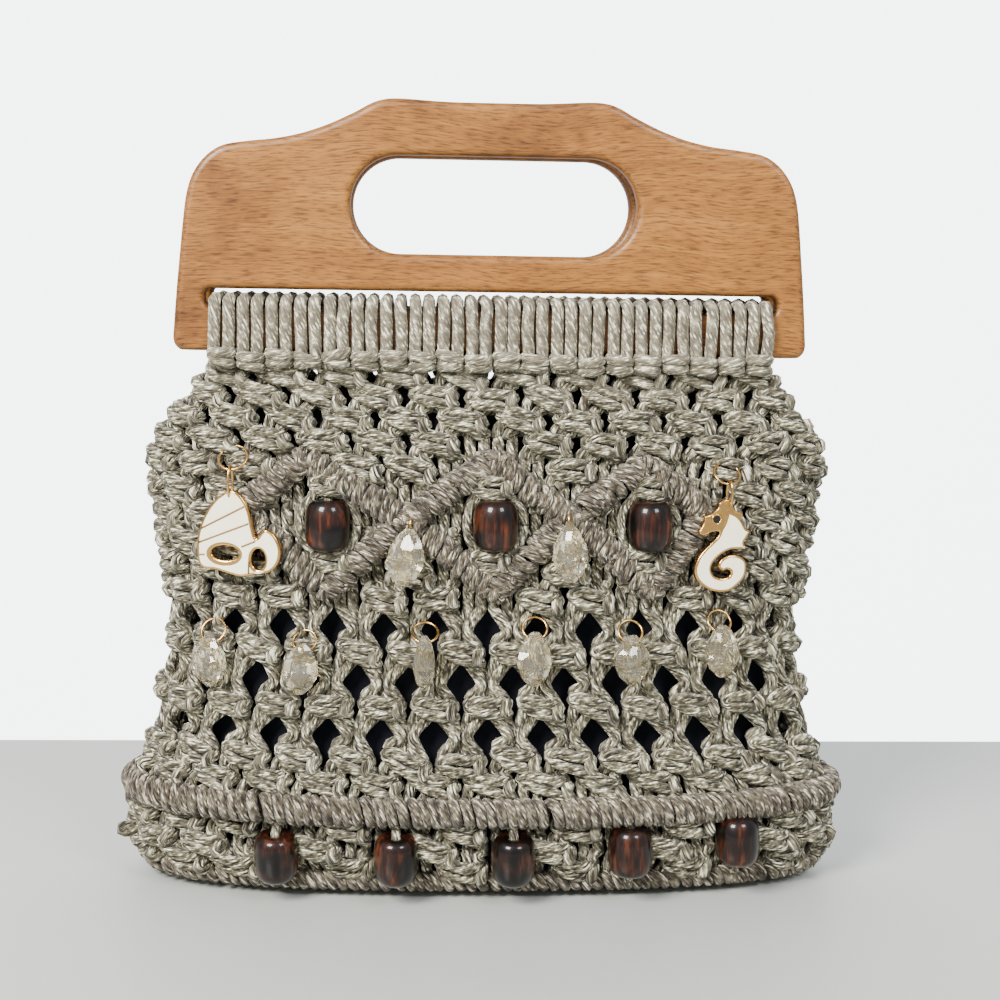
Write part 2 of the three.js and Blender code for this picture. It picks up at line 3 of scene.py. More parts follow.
import bpy
import numpy as np
from mathutils import Matrix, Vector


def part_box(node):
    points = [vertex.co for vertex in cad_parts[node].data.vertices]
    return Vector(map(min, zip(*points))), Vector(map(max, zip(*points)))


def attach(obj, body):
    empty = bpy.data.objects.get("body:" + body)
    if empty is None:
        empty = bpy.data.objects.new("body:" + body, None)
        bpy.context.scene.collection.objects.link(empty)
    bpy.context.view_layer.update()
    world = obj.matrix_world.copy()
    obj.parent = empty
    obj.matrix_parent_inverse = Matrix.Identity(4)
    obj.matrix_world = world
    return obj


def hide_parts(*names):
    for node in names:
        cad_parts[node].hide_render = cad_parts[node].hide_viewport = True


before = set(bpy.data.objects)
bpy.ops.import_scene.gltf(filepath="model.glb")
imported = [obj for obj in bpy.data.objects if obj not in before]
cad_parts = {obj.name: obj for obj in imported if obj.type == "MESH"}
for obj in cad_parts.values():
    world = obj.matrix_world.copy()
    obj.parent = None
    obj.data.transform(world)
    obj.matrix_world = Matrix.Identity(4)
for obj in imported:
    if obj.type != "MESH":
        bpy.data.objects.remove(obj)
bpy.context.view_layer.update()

# Handles
# Two equal plates of stained hardwood, sawn out with a grip slot and, under it, a long
# cord slot that leaves a rail along the bottom edge. All edges are rounded over and
# the faces are sanded and varnished, with the grain running from side to side.

MM = 0.001

handle_low, handle_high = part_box("front_handle")
MIDDLE_X = (handle_low[0] + handle_high[0]) / 2
HANDLES_APART = 16.0
HANDLE_THICK = 9.0
MIDDLE_Y = handle_high[1] + HANDLES_APART / 2 * MM
HANDLE_WIDTH = 250.0
HANDLE_HEIGHT = 98.0
HANDLE_BOTTOM = 218.0
HANDLE_ROUND = 2.8
HANDLE_MIDDLE = (HANDLES_APART + HANDLE_THICK) / 2
GRIP_LENGTH = 112.0
GRIP_HEIGHT = 38.0
GRIP_RISE = 57.6
CORD_SLOT_LENGTH = 225.0
CORD_SLOT_HEIGHT = 6.6
CORD_SLOT_CORNER = 2.6
RAIL_HEIGHT = 17.6

# Half outline from the bottom corner to the top middle: share of half width, share of height
HANDLE_OUTLINE = np.array([
    (0.0, 0.0), (0.4, 0.0), (0.8, 0.0), (0.955, 0.0), (0.985, 0.008), (1.0, 0.04),
    (0.998, 0.1), (0.988, 0.25), (0.976, 0.4), (0.966, 0.52), (0.956, 0.61), (0.94, 0.68),
    (0.915, 0.735), (0.88, 0.78), (0.835, 0.81), (0.76, 0.826), (0.68, 0.838), (0.6, 0.86),
    (0.52, 0.895), (0.44, 0.942), (0.385, 0.98), (0.345, 0.996), (0.29, 1.0), (0.15, 0.991),
    (0.0, 0.99),
])


def in_frame(points):
    """Points in mm from the middle of the seam at the base, moved into the frame in metres."""
    return np.asarray(points, float) * MM + np.array([MIDDLE_X, MIDDLE_Y, 0.0])


def smooth_route(points, per_step):
    """Each span between two points is cut into per_step parts on the Catmull-Rom cubic, which
    passes through every point in the direction of its two neighbours. Works on (..., n, 3)."""
    first = 2 * points[..., :1, :] - points[..., 1:2, :]
    last = 2 * points[..., -1:, :] - points[..., -2:-1, :]
    p = np.concatenate([first, points, last], axis=-2)
    a, b, c, d = p[..., :-3, :], p[..., 1:-2, :], p[..., 2:-1, :], p[..., 3:, :]
    t = (np.arange(per_step) / per_step)[:, None]
    a, b, c, d = (q[..., :, None, :] for q in (a, b, c, d))
    route = b + 0.5 * t * (c - a) + t**2 * (a - 2.5 * b + 2 * c - 0.5 * d)
    route = route + t**3 * (1.5 * (b - c) + 0.5 * (d - a))
    route = route.reshape(*points.shape[:-2], -1, points.shape[-1])
    return np.concatenate([route, points[..., -1:, :]], axis=-2)


def added(name, data):
    """An object of that name and data, put in the scene."""
    piece = bpy.data.objects.new(name, data)
    bpy.context.scene.collection.objects.link(piece)
    return piece


def new_piece(name, vertices, faces, uv=None, smooth=True):
    """A mesh object at the origin from vertices in metres and faces, with UVs per corner."""
    mesh = bpy.data.meshes.new(name)
    mesh.from_pydata(vertices.tolist(), [], faces.tolist() if isinstance(faces, np.ndarray) else faces)
    if uv is not None:
        layer = mesh.uv_layers.new(name="UVMap")
        layer.data.foreach_set("uv", np.asarray(uv, np.float32).ravel())
    mesh.polygons.foreach_set("use_smooth", np.full(len(mesh.polygons), smooth))
    mesh.update()
    return added(name, mesh)


def rounded_plate(name, outlines, thick, rounding, inset, steps):
    """Closed outlines of (x, z) points in mm, drawn in by inset and extruded flat through
    thick, with edges rounded over by a quarter circle in so many steps. Returns the mesh and
    its points' x, z and depth from the middle in mm."""
    curve = bpy.data.curves.new(name, "CURVE")
    curve.dimensions = "2D"
    curve.fill_mode = "BOTH"
    curve.extrude = (thick / 2 - rounding) * MM
    curve.bevel_depth = rounding * MM
    curve.bevel_resolution = steps
    curve.offset = -(rounding + inset) * MM
    for points in outlines:
        spline = curve.splines.new("POLY")
        spline.points.add(len(points) - 1)
        flat = np.column_stack([points * MM, np.zeros(len(points)), np.ones(len(points))])
        spline.points.foreach_set("co", flat.ravel())
        spline.use_cyclic_u = True
    drawn = added(name + "_flat", curve)
    graph = bpy.context.evaluated_depsgraph_get()
    mesh = bpy.data.meshes.new_from_object(drawn.evaluated_get(graph))
    bpy.data.objects.remove(drawn)
    mesh.name = name
    spots = np.empty(len(mesh.vertices) * 3)
    mesh.vertices.foreach_get("co", spots)
    across, rise, deep = spots.reshape(-1, 3).T / MM
    return mesh, across, rise, deep


def slot_outline(length, height, corner, middle):
    """A rectangle with round corners of radius corner, centred at x 0 and z middle."""
    turn = np.linspace(0, math.pi / 2, 17)
    arc = np.column_stack([np.cos(turn), np.sin(turn)]) * corner
    corner_x, corner_z = length / 2 - corner, height / 2 - corner
    right_top = arc + (corner_x, corner_z)
    left_top = arc[::-1] * (-1, 1) + (-corner_x, corner_z)
    left_low = arc * (-1, -1) + (-corner_x, -corner_z)
    right_low = arc[::-1] * (1, -1) + (corner_x, -corner_z)
    return np.concatenate([right_top, left_top, left_low, right_low]) + (0, middle)


def handle_plate(name, y):
    """The outline less its two slots as a plate stood up at distance y from the seam. The
    edge attribute, which darkens the wood, is 0 on the faces, 0.35 on the roundings and 1
    in the cord slot, where the darkening is painted shade."""
    half = smooth_route(HANDLE_OUTLINE * (HANDLE_WIDTH / 2, HANDLE_HEIGHT), 8)
    half = half[np.concatenate([[True], np.hypot(*np.diff(half, axis=0).T) > 0.05])]
    slot_rise = RAIL_HEIGHT + CORD_SLOT_HEIGHT / 2
    mesh, across, rise, deep = rounded_plate(name, [
        np.concatenate([half, half[-2:0:-1] * (-1, 1)]),
        slot_outline(GRIP_LENGTH, GRIP_HEIGHT, GRIP_HEIGHT / 2 - 0.1, GRIP_RISE),
        slot_outline(CORD_SLOT_LENGTH, CORD_SLOT_HEIGHT, CORD_SLOT_CORNER, slot_rise),
    ], HANDLE_THICK, HANDLE_ROUND, 0, 5)
    stood = in_frame(np.column_stack([across, y - deep, rise + HANDLE_BOTTOM]))
    mesh.vertices.foreach_set("co", stood.ravel())
    # The cord slot gets the most darkening, which is painted shade.
    in_slot_shade = (np.abs(across) < CORD_SLOT_LENGTH / 2 + 1) & (np.abs(rise - slot_rise) < 6)
    edge = np.clip((HANDLE_THICK / 2 - np.abs(deep)) / HANDLE_ROUND, 0, 1)
    edge = edge * np.where(in_slot_shade, 1.0, 0.35)
    values = mesh.attributes.new("edge", "FLOAT", "POINT").data
    values.foreach_set("value", edge.astype(np.float32))
    mesh.update()
    return added(name, mesh)


def material(name, **settings):
    """A new node material with constants on its shader's own sockets."""
    made = bpy.data.materials.new(name)
    made.use_nodes = True
    shader = made.node_tree.nodes["Principled BSDF"]
    for key, value in settings.items():
        shader.inputs[key.replace("_", " ")].default_value = value
    return made, made.node_tree, shader


def colour(red, green, blue):
    """A colour as a screen shows it, from 0 to 1, in the linear values that the shader takes."""
    shown = np.array([red, green, blue])
    linear = np.where(shown <= 0.04045, shown / 12.92, ((shown + 0.055) / 1.055) ** 2.4)
    return (*linear, 1.0)


def node(tree, kind, links=(), **settings):
    """A node with its settings, and its inputs joined or set by name or number."""
    made = tree.nodes.new(kind)
    for key, value in settings.items():
        setattr(made, key, value)
    for key, value in dict(links).items():
        if isinstance(value, bpy.types.NodeSocket):
            tree.links.new(value, made.inputs[key])
        else:
            made.inputs[key].default_value = value
    return made


def ramp(tree, factor, *stops):
    """A colour ramp through stops of place, red, green and blue."""
    made = node(tree, "ShaderNodeValToRGB", {"Fac": factor})
    bands = made.color_ramp.elements
    while len(bands) < len(stops):
        bands.new(0.5)
    for band, (place, *shade) in zip(bands, stops):
        band.position = place
        band.color = colour(*shade)
    return made.outputs["Color"]


def mixed(tree, factor, one, other, blend="MIX"):
    """Two colours mixed by a factor."""
    made = tree.nodes.new("ShaderNodeMix")
    made.data_type = "RGBA"
    made.blend_type = blend
    for socket, value in ((0, factor), (6, one), (7, other)):
        if isinstance(value, bpy.types.NodeSocket):
            tree.links.new(value, made.inputs[socket])
        else:
            made.inputs[socket].default_value = value
    return made.outputs[2]


def object_place(tree):
    """The place on the object, in metres of the frame."""
    return node(tree, "ShaderNodeTexCoord").outputs["Object"]


def stretched(tree, vector, scale, rotation=(0, 0, 0)):
    """A place turned and then scaled along each axis."""
    links = {"Vector": vector, "Scale": scale, "Rotation": rotation}
    return node(tree, "ShaderNodeMapping", links).outputs[0]


def noise(tree, vector, scale, detail, roughness=0.5):
    """The outputs of a noise texture."""
    links = {"Vector": vector, "Scale": scale, "Detail": detail, "Roughness": roughness}
    return node(tree, "ShaderNodeTexNoise", links).outputs


def maths(tree, operation, *values):
    """The result of an operation on one to three numbers."""
    return node(tree, "ShaderNodeMath", dict(enumerate(values)), operation=operation).outputs[0]


def vectors(tree, operation, *values):
    """The result of an operation on one or two vectors."""
    return node(tree, "ShaderNodeVectorMath", dict(enumerate(values)), operation=operation).outputs[0]


def bumped(tree, shader, *layers):
    """Bumps of (height, strength, depth in mm), each laid over the one before."""
    normal = {}
    for height, strength, deep in layers:
        links = {"Height": height, "Strength": strength, "Distance": deep * MM, **normal}
        normal = {"Normal": node(tree, "ShaderNodeBump", links).outputs[0]}
    tree.links.new(normal["Normal"], shader.inputs["Normal"])


def handle_wood():
    """Stained hardwood: wavy bands and fine dark pores stretched along X, blotches of stain,
    pale scratches, darker roundings, painted shade in the cord slot, and a satin varnish
    that is rougher where it is worn."""
    made, tree, shader = material(
        "handle_wood", Coat_Weight=0.2, Coat_Roughness=0.3, Specular_IOR_Level=0.35)
    place = object_place(tree)
    drift = vectors(tree, "MULTIPLY", noise(tree, place, 9.0, 2.0)["Color"], (0.0, 0.0, 0.02))
    moved = vectors(tree, "ADD", place, drift)
    bands = noise(tree, stretched(tree, moved, (12, 260, 300)), 1.0, 5.0, 0.7)["Fac"]
    pores = noise(tree, stretched(tree, moved, (150, 1300, 1500)), 1.0, 3.0, 0.6)["Fac"]
    blotch = noise(tree, place, 22.0, 4.0, 0.6)["Fac"]
    nicks = noise(tree, stretched(tree, place, (60, 60, 1400), (0, 0.55, 0)), 1.0, 1.0)["Fac"]
    base = ramp(tree, bands, (0.3, 0.51, 0.32, 0.10), (0.46, 0.56, 0.36, 0.125),
                (0.56, 0.59, 0.385, 0.14), (0.72, 0.64, 0.43, 0.175))
    dark_pores = ramp(tree, pores, (0.36, 0.52, 0.45, 0.38), (0.5, 0.93, 0.92, 0.9),
                      (0.62, 1, 1, 1))
    stains = ramp(tree, blotch, (0.34, 0.66, 0.59, 0.55), (0.46, 0.93, 0.91, 0.9), (0.6, 1, 1, 1))
    scratch = ramp(tree, nicks, (0.74, 0, 0, 0), (0.78, 1, 0.85, 0.6))
    grained = mixed(tree, 0.85, base, dark_pores, "MULTIPLY")
    stained = mixed(tree, 0.8, grained, stains, "MULTIPLY")
    worn = mixed(tree, 0.05, stained, scratch, "ADD")
    # Darker on the roundings, and darkest in the cord slot, where the dark is painted shade.
    edge = node(tree, "ShaderNodeAttribute", attribute_name="edge").outputs["Fac"]
    dark = mixed(tree, edge, colour(1, 1, 1), colour(0.36, 0.27, 0.2))
    tree.links.new(mixed(tree, 1.0, worn, dark, "MULTIPLY"), shader.inputs["Base Color"])
    rough = node(tree, "ShaderNodeMapRange", {"Value": blotch, "To Min": 0.34, "To Max": 0.56})
    tree.links.new(rough.outputs["Result"], shader.inputs["Roughness"])
    bumped(tree, shader, (pores, 0.25, 0.2), (nicks, 0.15, 0.2))
    return made


def stand_for(piece, replaced, finish):
    """The piece takes its material, rides on the body and stands for a solid of the frame."""
    piece.data.materials.append(finish)
    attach(piece, "root")
    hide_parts(replaced)


wood = handle_wood()
for name, side in (("front_handle", -1), ("back_handle", 1)):
    stand_for(handle_plate("plate_" + name, side * HANDLE_MIDDLE), name, wood)

# Knotted cords
# The body is 112 cords of about 5 mm, spun from many fine heathered yarns, hung in pairs
# over the rails and tied into rows of square knots, each row half a knot aside of the
# last. Rows lie close at the top and base, and open into a net in the middle.

BODY_TOP = 215.0
BODY_WIDTH = 298.0
BODY_DEPTH = 86.0
NOTCH_BOTTOM = 178.0
NOTCH_HALF = 9.0

# Height share, half width share, half depth share, middle in mm, squareness
SECTIONS = np.array([
    (0.0, 0.86, 0.66, 1.5, 2.5), (0.025, 0.945, 0.84, 1.5, 2.5), (0.09, 1.0, 0.985, 1.4, 2.4),
    (0.155, 0.975, 0.965, 0.9, 2.4), (0.17, 0.994, 1.03, 0.8, 2.4), (0.2, 0.982, 1.02, 0.7, 2.4),
    (0.215, 0.952, 0.945, 0.6, 2.4), (0.27, 0.928, 0.92, 0.2, 2.3), (0.47, 0.87, 0.82, -1.0, 2.3),
    (0.62, 0.888, 0.785, -0.8, 2.3), (0.77, 0.917, 0.725, 0.0, 2.4), (0.83, 0.922, 0.66, 0.0, 2.6),
    (0.88, 0.892, 0.585, 0.0, 3.0), (0.935, 0.81, 0.48, 0.0, 4.2), (1.0, 0.768, 0.42, 0.0, 5.0),
])
LEVELS = np.arange(0, BODY_TOP + 7)
SHARES = np.linspace(-1, 1, 321)


def half_sections():
    """At each level the front half of a superellipse, |x/a|^n + |y/b|^n = 1, from the left
    edge to the right one, at equal steps of its own length. Where the side is notched, the
    half ends at the notch."""
    rise = np.clip(LEVELS / BODY_TOP, 0, 1)
    half_wide, half_deep, middle, square = (
        np.interp(rise, SECTIONS[:, 0], SECTIONS[:, k])[:, None] for k in (1, 2, 3, 4))
    turn = np.linspace(0, math.pi, 1441)[None, :]
    along = np.sign(np.cos(turn)) * np.abs(np.cos(turn)) ** (2 / square)
    x = middle - half_wide * BODY_WIDTH / 2 * along
    y = -half_deep * BODY_DEPTH / 2 * np.sin(turn) ** (2 / square)
    notch = np.interp(LEVELS, [NOTCH_BOTTOM, BODY_TOP], [0, NOTCH_HALF])[:, None]
    step = np.hypot(np.diff(x, axis=1), np.diff(y, axis=1)) * (np.abs(y[:, 1:]) >= notch)
    run = np.concatenate([np.zeros((len(x), 1)), np.cumsum(step, axis=1)], axis=1)
    length = run[:, -1]
    skin = np.empty((len(x), len(SHARES), 2))
    for k, row in enumerate(run):
        steady = row + np.linspace(0, 1e-6, len(row))
        wanted = (SHARES + 1) / 2 * row[-1]
        skin[k, :, 0] = np.interp(wanted, steady, x[k])
        skin[k, :, 1] = np.interp(wanted, steady, y[k])
    return skin, length


SKIN, SKIN_LENGTH = half_sections()


def skin_spot(share, z):
    """The point of the body's outer surface at a share of the half section, from -1 at its
    left edge to 1 at its right edge, and height z. Past an edge it goes on round the back."""
    over = np.abs(share) > 1
    folded = np.where(over, np.sign(share) * 2 - share, share)
    column = np.clip((folded + 1) / 2, 0, 1) * (len(SHARES) - 1)
    row = np.clip(z, 0, LEVELS[-1])
    i = np.clip(column.astype(int), 0, len(SHARES) - 2)
    k = np.clip(row.astype(int), 0, len(LEVELS) - 2)
    u = (column - i)[..., None]
    v = (row - k)[..., None]
    low = SKIN[k, i] * (1 - u) + SKIN[k, i + 1] * u
    high = SKIN[k + 1, i] * (1 - u) + SKIN[k + 1, i + 1] * u
    flat = low * (1 - v) + high * v
    y = flat[..., 1] * np.where(over, -1, 1)
    return np.stack([flat[..., 0], y, z + 0 * share], axis=-1)


def on_skin(share, z, out):
    """skin_spot moved out along the surface's normal, the cross product of the directions
    along the section and up the surface."""
    share, z, out = np.broadcast_arrays(
        np.asarray(share, float), np.asarray(z, float), np.asarray(out, float))
    across = skin_spot(share + 0.012, z) - skin_spot(share - 0.012, z)
    rise = skin_spot(share, z + 2.5) - skin_spot(share, z - 2.5)
    normal = np.cross(across, rise)
    normal /= np.linalg.norm(normal, axis=-1, keepdims=True)
    return skin_spot(share, z) + normal * out[..., None]


# The body is 28 knots round, so each half is 14 knots, and near the top fewer fit
KNOT_REACH_LEVELS = [175.0, 184.0, 192.8, 201.5, 210.0]
KNOT_REACH = [7.0, 6.5, 6.0, 5.5, 5.0]
KNOT_PITCH_HIGH = 22.6
KNOT_PITCH_LOW = 21.4
CORD = 4.8
CORD_DEPTH = 5.0

# The 56 cords of a half by number, and each one's place counted in knots
SLOTS = np.arange(-28, 28)
HOMES = (SLOTS + 0.5) / 4


def lattice(knots, z, out):
    """A point of the knotted wall: knots counts knots from the front's middle, z is the
    height, and out is the distance from the middle of the wall's thickness."""
    reach = np.interp(z, KNOT_REACH_LEVELS, KNOT_REACH)
    return on_skin(knots / reach, z, out - CORD_DEPTH)


# Rows of knots from the top: height, knot height, and whether the row is part of the net
ROWS = np.array([
    (210.0, 8.8, 0), (201.5, 8.8, 0), (192.8, 8.8, 0), (184.0, 9.2, 0), (174.0, 9.8, 0),
    (163.7, 10.2, 0), (153.5, 10.2, 0), (143.0, 10.4, 0), (132.8, 10.4, 0), (122.3, 10.0, 1),
    (101.0, 9.0, 1), (79.5, 9.0, 1), (58.0, 10.0, 0), (49.3, 8.6, 0), (31.0, 9.0, 0),
    (21.8, 9.0, 0), (12.6, 9.0, 0),
])

# One square knot seen from the front: right in mm, up as a share of its height, out in mm.
# The right cord crosses over twice, the left one crosses behind and hooks round the right.
KNOT_RIGHT = np.array([
    (7.2, 0.37, 1.0), (3.2, 0.26, 4.0), (0.0, 0.25, 4.7), (-3.4, 0.25, 4.2), (-7.6, 0.12, 2.2),
    (-7.6, -0.1, 1.8), (-3.4, -0.25, 4.2), (0.0, -0.25, 4.7), (3.2, -0.26, 4.0), (6.8, -0.36, 0.8)])
KNOT_LEFT = np.array([
    (-7.2, 0.36, 1.2), (-4.5, 0.22, -3.4), (4.5, 0.24, -3.6), (8.2, 0.24, 0.5), (7.0, 0.1, 5.4),
    (7.0, -0.1, 5.4), (8.2, -0.24, 0.5), (4.5, -0.24, -3.6), (-4.5, -0.22, -3.4), (-7.2, -0.36, 1.2)])
KNOT_LEAN = -0.3
STEPS = np.linspace(0.4, -0.4, 10)
KNOT_CORE = np.column_stack([np.zeros(10), STEPS, np.zeros(10)])
KNOT_ROLES = np.stack([KNOT_LEFT, KNOT_CORE + (-2.4, 0, 0), KNOT_CORE + (2.4, 0, 0), KNOT_RIGHT])

# The diamonds' corners on the front: x and z in mm
DIAMOND_CORNERS = {
    "left_corner": (-100.0, 156.0), "left_top": (-73.0, 177.0), "left_foot": (-64.0, 126.0),
    "left_crossing": (-33.8, 154.0), "middle_top": (0.0, 177.0), "right_crossing": (31.0, 155.0),
    "middle_foot": (2.0, 127.0), "right_top": (60.0, 176.0), "right_corner": (86.5, 157.0),
    "right_foot": (64.5, 127.0),
}
DIAMONDS = [
    ("left_top", "left_crossing", "left_foot", "left_corner"),
    ("middle_top", "right_crossing", "middle_foot", "left_crossing"),
    ("right_top", "right_corner", "right_foot", "right_crossing"),
]
RIDGE_CLEAR = 7.5

# The knots over and under the upper beads: middles counted in knots, how far up they are
# moved in each row, and their width, lean and distance out beside other knots
AXIS_KNOTS = (-3.0, 0.0, 3.0)
AXIS_ROWS = {5: 2.9, 7: -5.0}
AXIS_WIDE = 0.84
AXIS_LEAN = 0.4
AXIS_OUT = 2.2

# Beads: node, x and z of the middle
BEADS = [
    ("bead_mid_1", -63.8, 151.6), ("bead_mid_2", 1.6, 152.4), ("bead_mid_3", 62.5, 152.2),
    ("bead_low_1", -83.6, 19.6), ("bead_low_2", -36.1, 20.0), ("bead_low_3", 10.4, 20.0),
    ("bead_low_4", 57.3, 22.5), ("bead_low_5", 101.5, 24.5),
]
BEAD_WINDOW_WIDE = 12.5
BEAD_WINDOW_HIGH = 13.5


def inside_diamond(x, z, clear):
    """Whether points lie in a diamond or within clear of its edges: the signed distance to
    each edge of the corner loop is under clear."""
    held = np.zeros(np.shape(x), bool)
    for names in DIAMONDS:
        corners = np.array([DIAMOND_CORNERS[n] for n in names])
        edge = np.roll(corners, -1, axis=0) - corners
        edge /= np.linalg.norm(edge, axis=1, keepdims=True)
        away = [edge[k, 0] * (z - corners[k, 1]) - edge[k, 1] * (x - corners[k, 0]) for k in range(4)]
        held |= np.max(away, axis=0) < clear
    return held


# In close rows and in the net: width and lean of a knot, and how far the cords between two
# rows spread and stand out, in mm
KNOT_WIDE = (1.02, 0.97)
NET_LEAN = (1.0, 0.7)
LEG_SPREAD = (3.8, 1.6)
LEG_OUT = (0.4, 1.9)
CLOSE_GAP = 14.0
LEG_SAG = 0.06
CORE_OUT = -1.0
ROW_POINTS = len(STEPS) + 1

# How uneven the knots are, as a spread: lean, width, height in mm, distance out in mm
UNEVEN = np.array([0.1, 0.04, 0.45, 0.5])[:, None]


def knots_of_row(row):
    """For each cord the middle of its knot in a row, counted in knots, and its role there,
    from 0 at the left to 3 at the right. Each row is half a knot aside of the last."""
    shift = 2 * (row % 2)
    return (SLOTS + shift) // 4 + (0.0 if shift else 0.5), (SLOTS + shift) % 4


def cord_plan(front):
    """Control points of the 56 cords of one half, top to bottom, as knots, z and out.
    In a row a cord is the left worker, a core cord or the right worker of its knot by its
    number, and where no knot is tied it hangs straight. Between rows it heads for its place
    in the next knot. Returns the points and each cord's first row."""
    chance = np.random.default_rng(11 if front else 12)
    plan = []
    started = np.full(len(SLOTS), len(ROWS))
    for r, (z, high, net) in enumerate(ROWS):
        reach = np.interp(z, KNOT_REACH_LEVELS, KNOT_REACH)
        pitch = KNOT_PITCH_LOW if z < NOTCH_BOTTOM else KNOT_PITCH_HIGH
        centre, role = knots_of_row(r)
        tied = (np.abs(centre) + 0.49 <= reach) | (z <= NOTCH_BOTTOM)
        own = chance.normal(size=(4, 20)) * (np.abs(np.arange(20) - 9.5) < 7) * UNEVEN
        tilted, wider, shifted, pushed = own[:, np.floor(centre).astype(int) + 10]
        lean = KNOT_LEAN * NET_LEAN[int(net)] + tilted
        wide = KNOT_WIDE[int(net)] * (1 + wider)
        knot_z = np.full(len(SLOTS), z)
        if front:
            x = skin_spot(centre / reach, knot_z)[:, 0]
            free = inside_diamond(x, knot_z, RIDGE_CLEAR)
            for _, bead_x, bead_z in BEADS:
                beside, level = np.abs(x - bead_x), np.abs(z - bead_z)
                free |= (beside < BEAD_WINDOW_WIDE) & (level < BEAD_WINDOW_HIGH)
            on_axis = np.isin(centre, AXIS_KNOTS) & (r in AXIS_ROWS)
            knot_z = np.where(on_axis, z + AXIS_ROWS.get(r, 0.0), knot_z)
            wide = np.where(on_axis, AXIS_WIDE, wide)
            lean = np.where(on_axis, lean * AXIS_LEAN, lean)
            pushed = np.where(on_axis, AXIS_OUT, pushed)
            tied &= on_axis | ~free
        shape = KNOT_ROLES[role]
        held = tied[:, None]
        sideways = shape[..., 0] * wide[:, None]
        slope = np.where(np.isin(role, (0, 3)), lean, 0)[:, None]
        tied_z = knot_z[:, None] + shape[..., 1] * high + sideways * slope + shifted[:, None]
        knots = np.where(held, centre[:, None] + sideways / pitch, HOMES[:, None])
        height = np.where(held, tied_z, z + KNOT_CORE[:, 1] * high)
        out = np.where(held, shape[..., 2] + pushed[:, None], CORE_OUT)
        plan.append(np.stack([knots, height, out], axis=-1))
        started = np.where((np.abs(HOMES) < reach + 0.01) & (started == len(ROWS)), r, started)
        if r + 1 < len(ROWS):
            next_z, next_high, _ = ROWS[r + 1]
            centre, role = knots_of_row(r + 1)
            fan = (role - 1.5) * LEG_SPREAD[int(net)] / pitch
            gap = z - next_z
            middle = (z - high / 2 + next_z + next_high / 2) / 2
            leg_z = np.full(len(SLOTS), middle - (0.0 if gap < CLOSE_GAP else LEG_SAG * gap))
            leg_out = np.where(np.isin(role, (0, 3)), 1, -1) * LEG_OUT[int(net)]
            plan.append(np.stack([centre + fan, leg_z, leg_out], axis=-1)[:, None])
    return np.concatenate(plan, axis=1), started


# The 20 pairs of cords over a rail, at equal steps between the ends of the cord slot
LOOP_PAIRS = 20
LOOP_WIDTH = 10.4
LOOP_END_GAP = 1.6
LOOP_PITCH = (CORD_SLOT_LENGTH - LOOP_WIDTH - 2 * LOOP_END_GAP) / (LOOP_PAIRS - 1)
LOOP_ASIDE = CORD / 2 * 1.14
LOOP_CLEAR = 0.2


def loop_start(side):
    """The cords from behind the rail, over it and down its front to the first row, in mm,
    with a little wobble below the rail's top."""
    x = (SLOTS // 2 + 0.5) * LOOP_PITCH + np.where(SLOTS % 2 == 0, -1, 1) * LOOP_ASIDE
    away = HANDLE_THICK / 2 + CORD / 2 + LOOP_CLEAR
    top = HANDLE_BOTTOM + RAIL_HEIGHT + CORD / 2 + LOOP_CLEAR
    deep = np.array([0.7, 1.0, 1.0, 0.97, 0.5, -0.5, -0.97, -1.0, -1.0, -0.95])
    rise = np.array([212.0, 218.0, 228.0, top - 2.2, top, top, top - 2.2, 228.0, 219.0, 214.5])
    wobble = np.random.default_rng(31).normal(0, 0.28, (len(x), len(rise))) * (rise < top)
    y = side * (HANDLE_MIDDLE + deep * away)
    return np.stack(np.broadcast_arrays(-side * (x[:, None] + wobble), y, rise), axis=-1)


def base_end(side):
    """The cords' ends under the base: in from the rim and across to the seam."""
    rim = on_skin(HOMES / KNOT_REACH[0] * -side, 3.0, -3.2)
    ends = rim[:, None] * np.array([(0.96, 0.75, 0), (0.94, 0.3, 0), (0.93, 0.02, 0)])
    ends[..., 2] = CORD / 2 + 0.9
    if side > 0:
        ends[..., 1] = np.abs(ends[..., 1])
    return ends


def even_steps(route, step):
    """The same route with its points at equal steps of its own length."""
    run = np.concatenate([[0], np.cumsum(np.linalg.norm(np.diff(route, axis=0), axis=1))])
    wanted = np.linspace(0, run[-1], max(int(run[-1] / step), 3) + 1)
    return np.column_stack([np.interp(wanted, run, route[:, k]) for k in range(3)])


# How far along the yarn each tube starts after the last, in metres
TUBE_SHIFT = 0.37


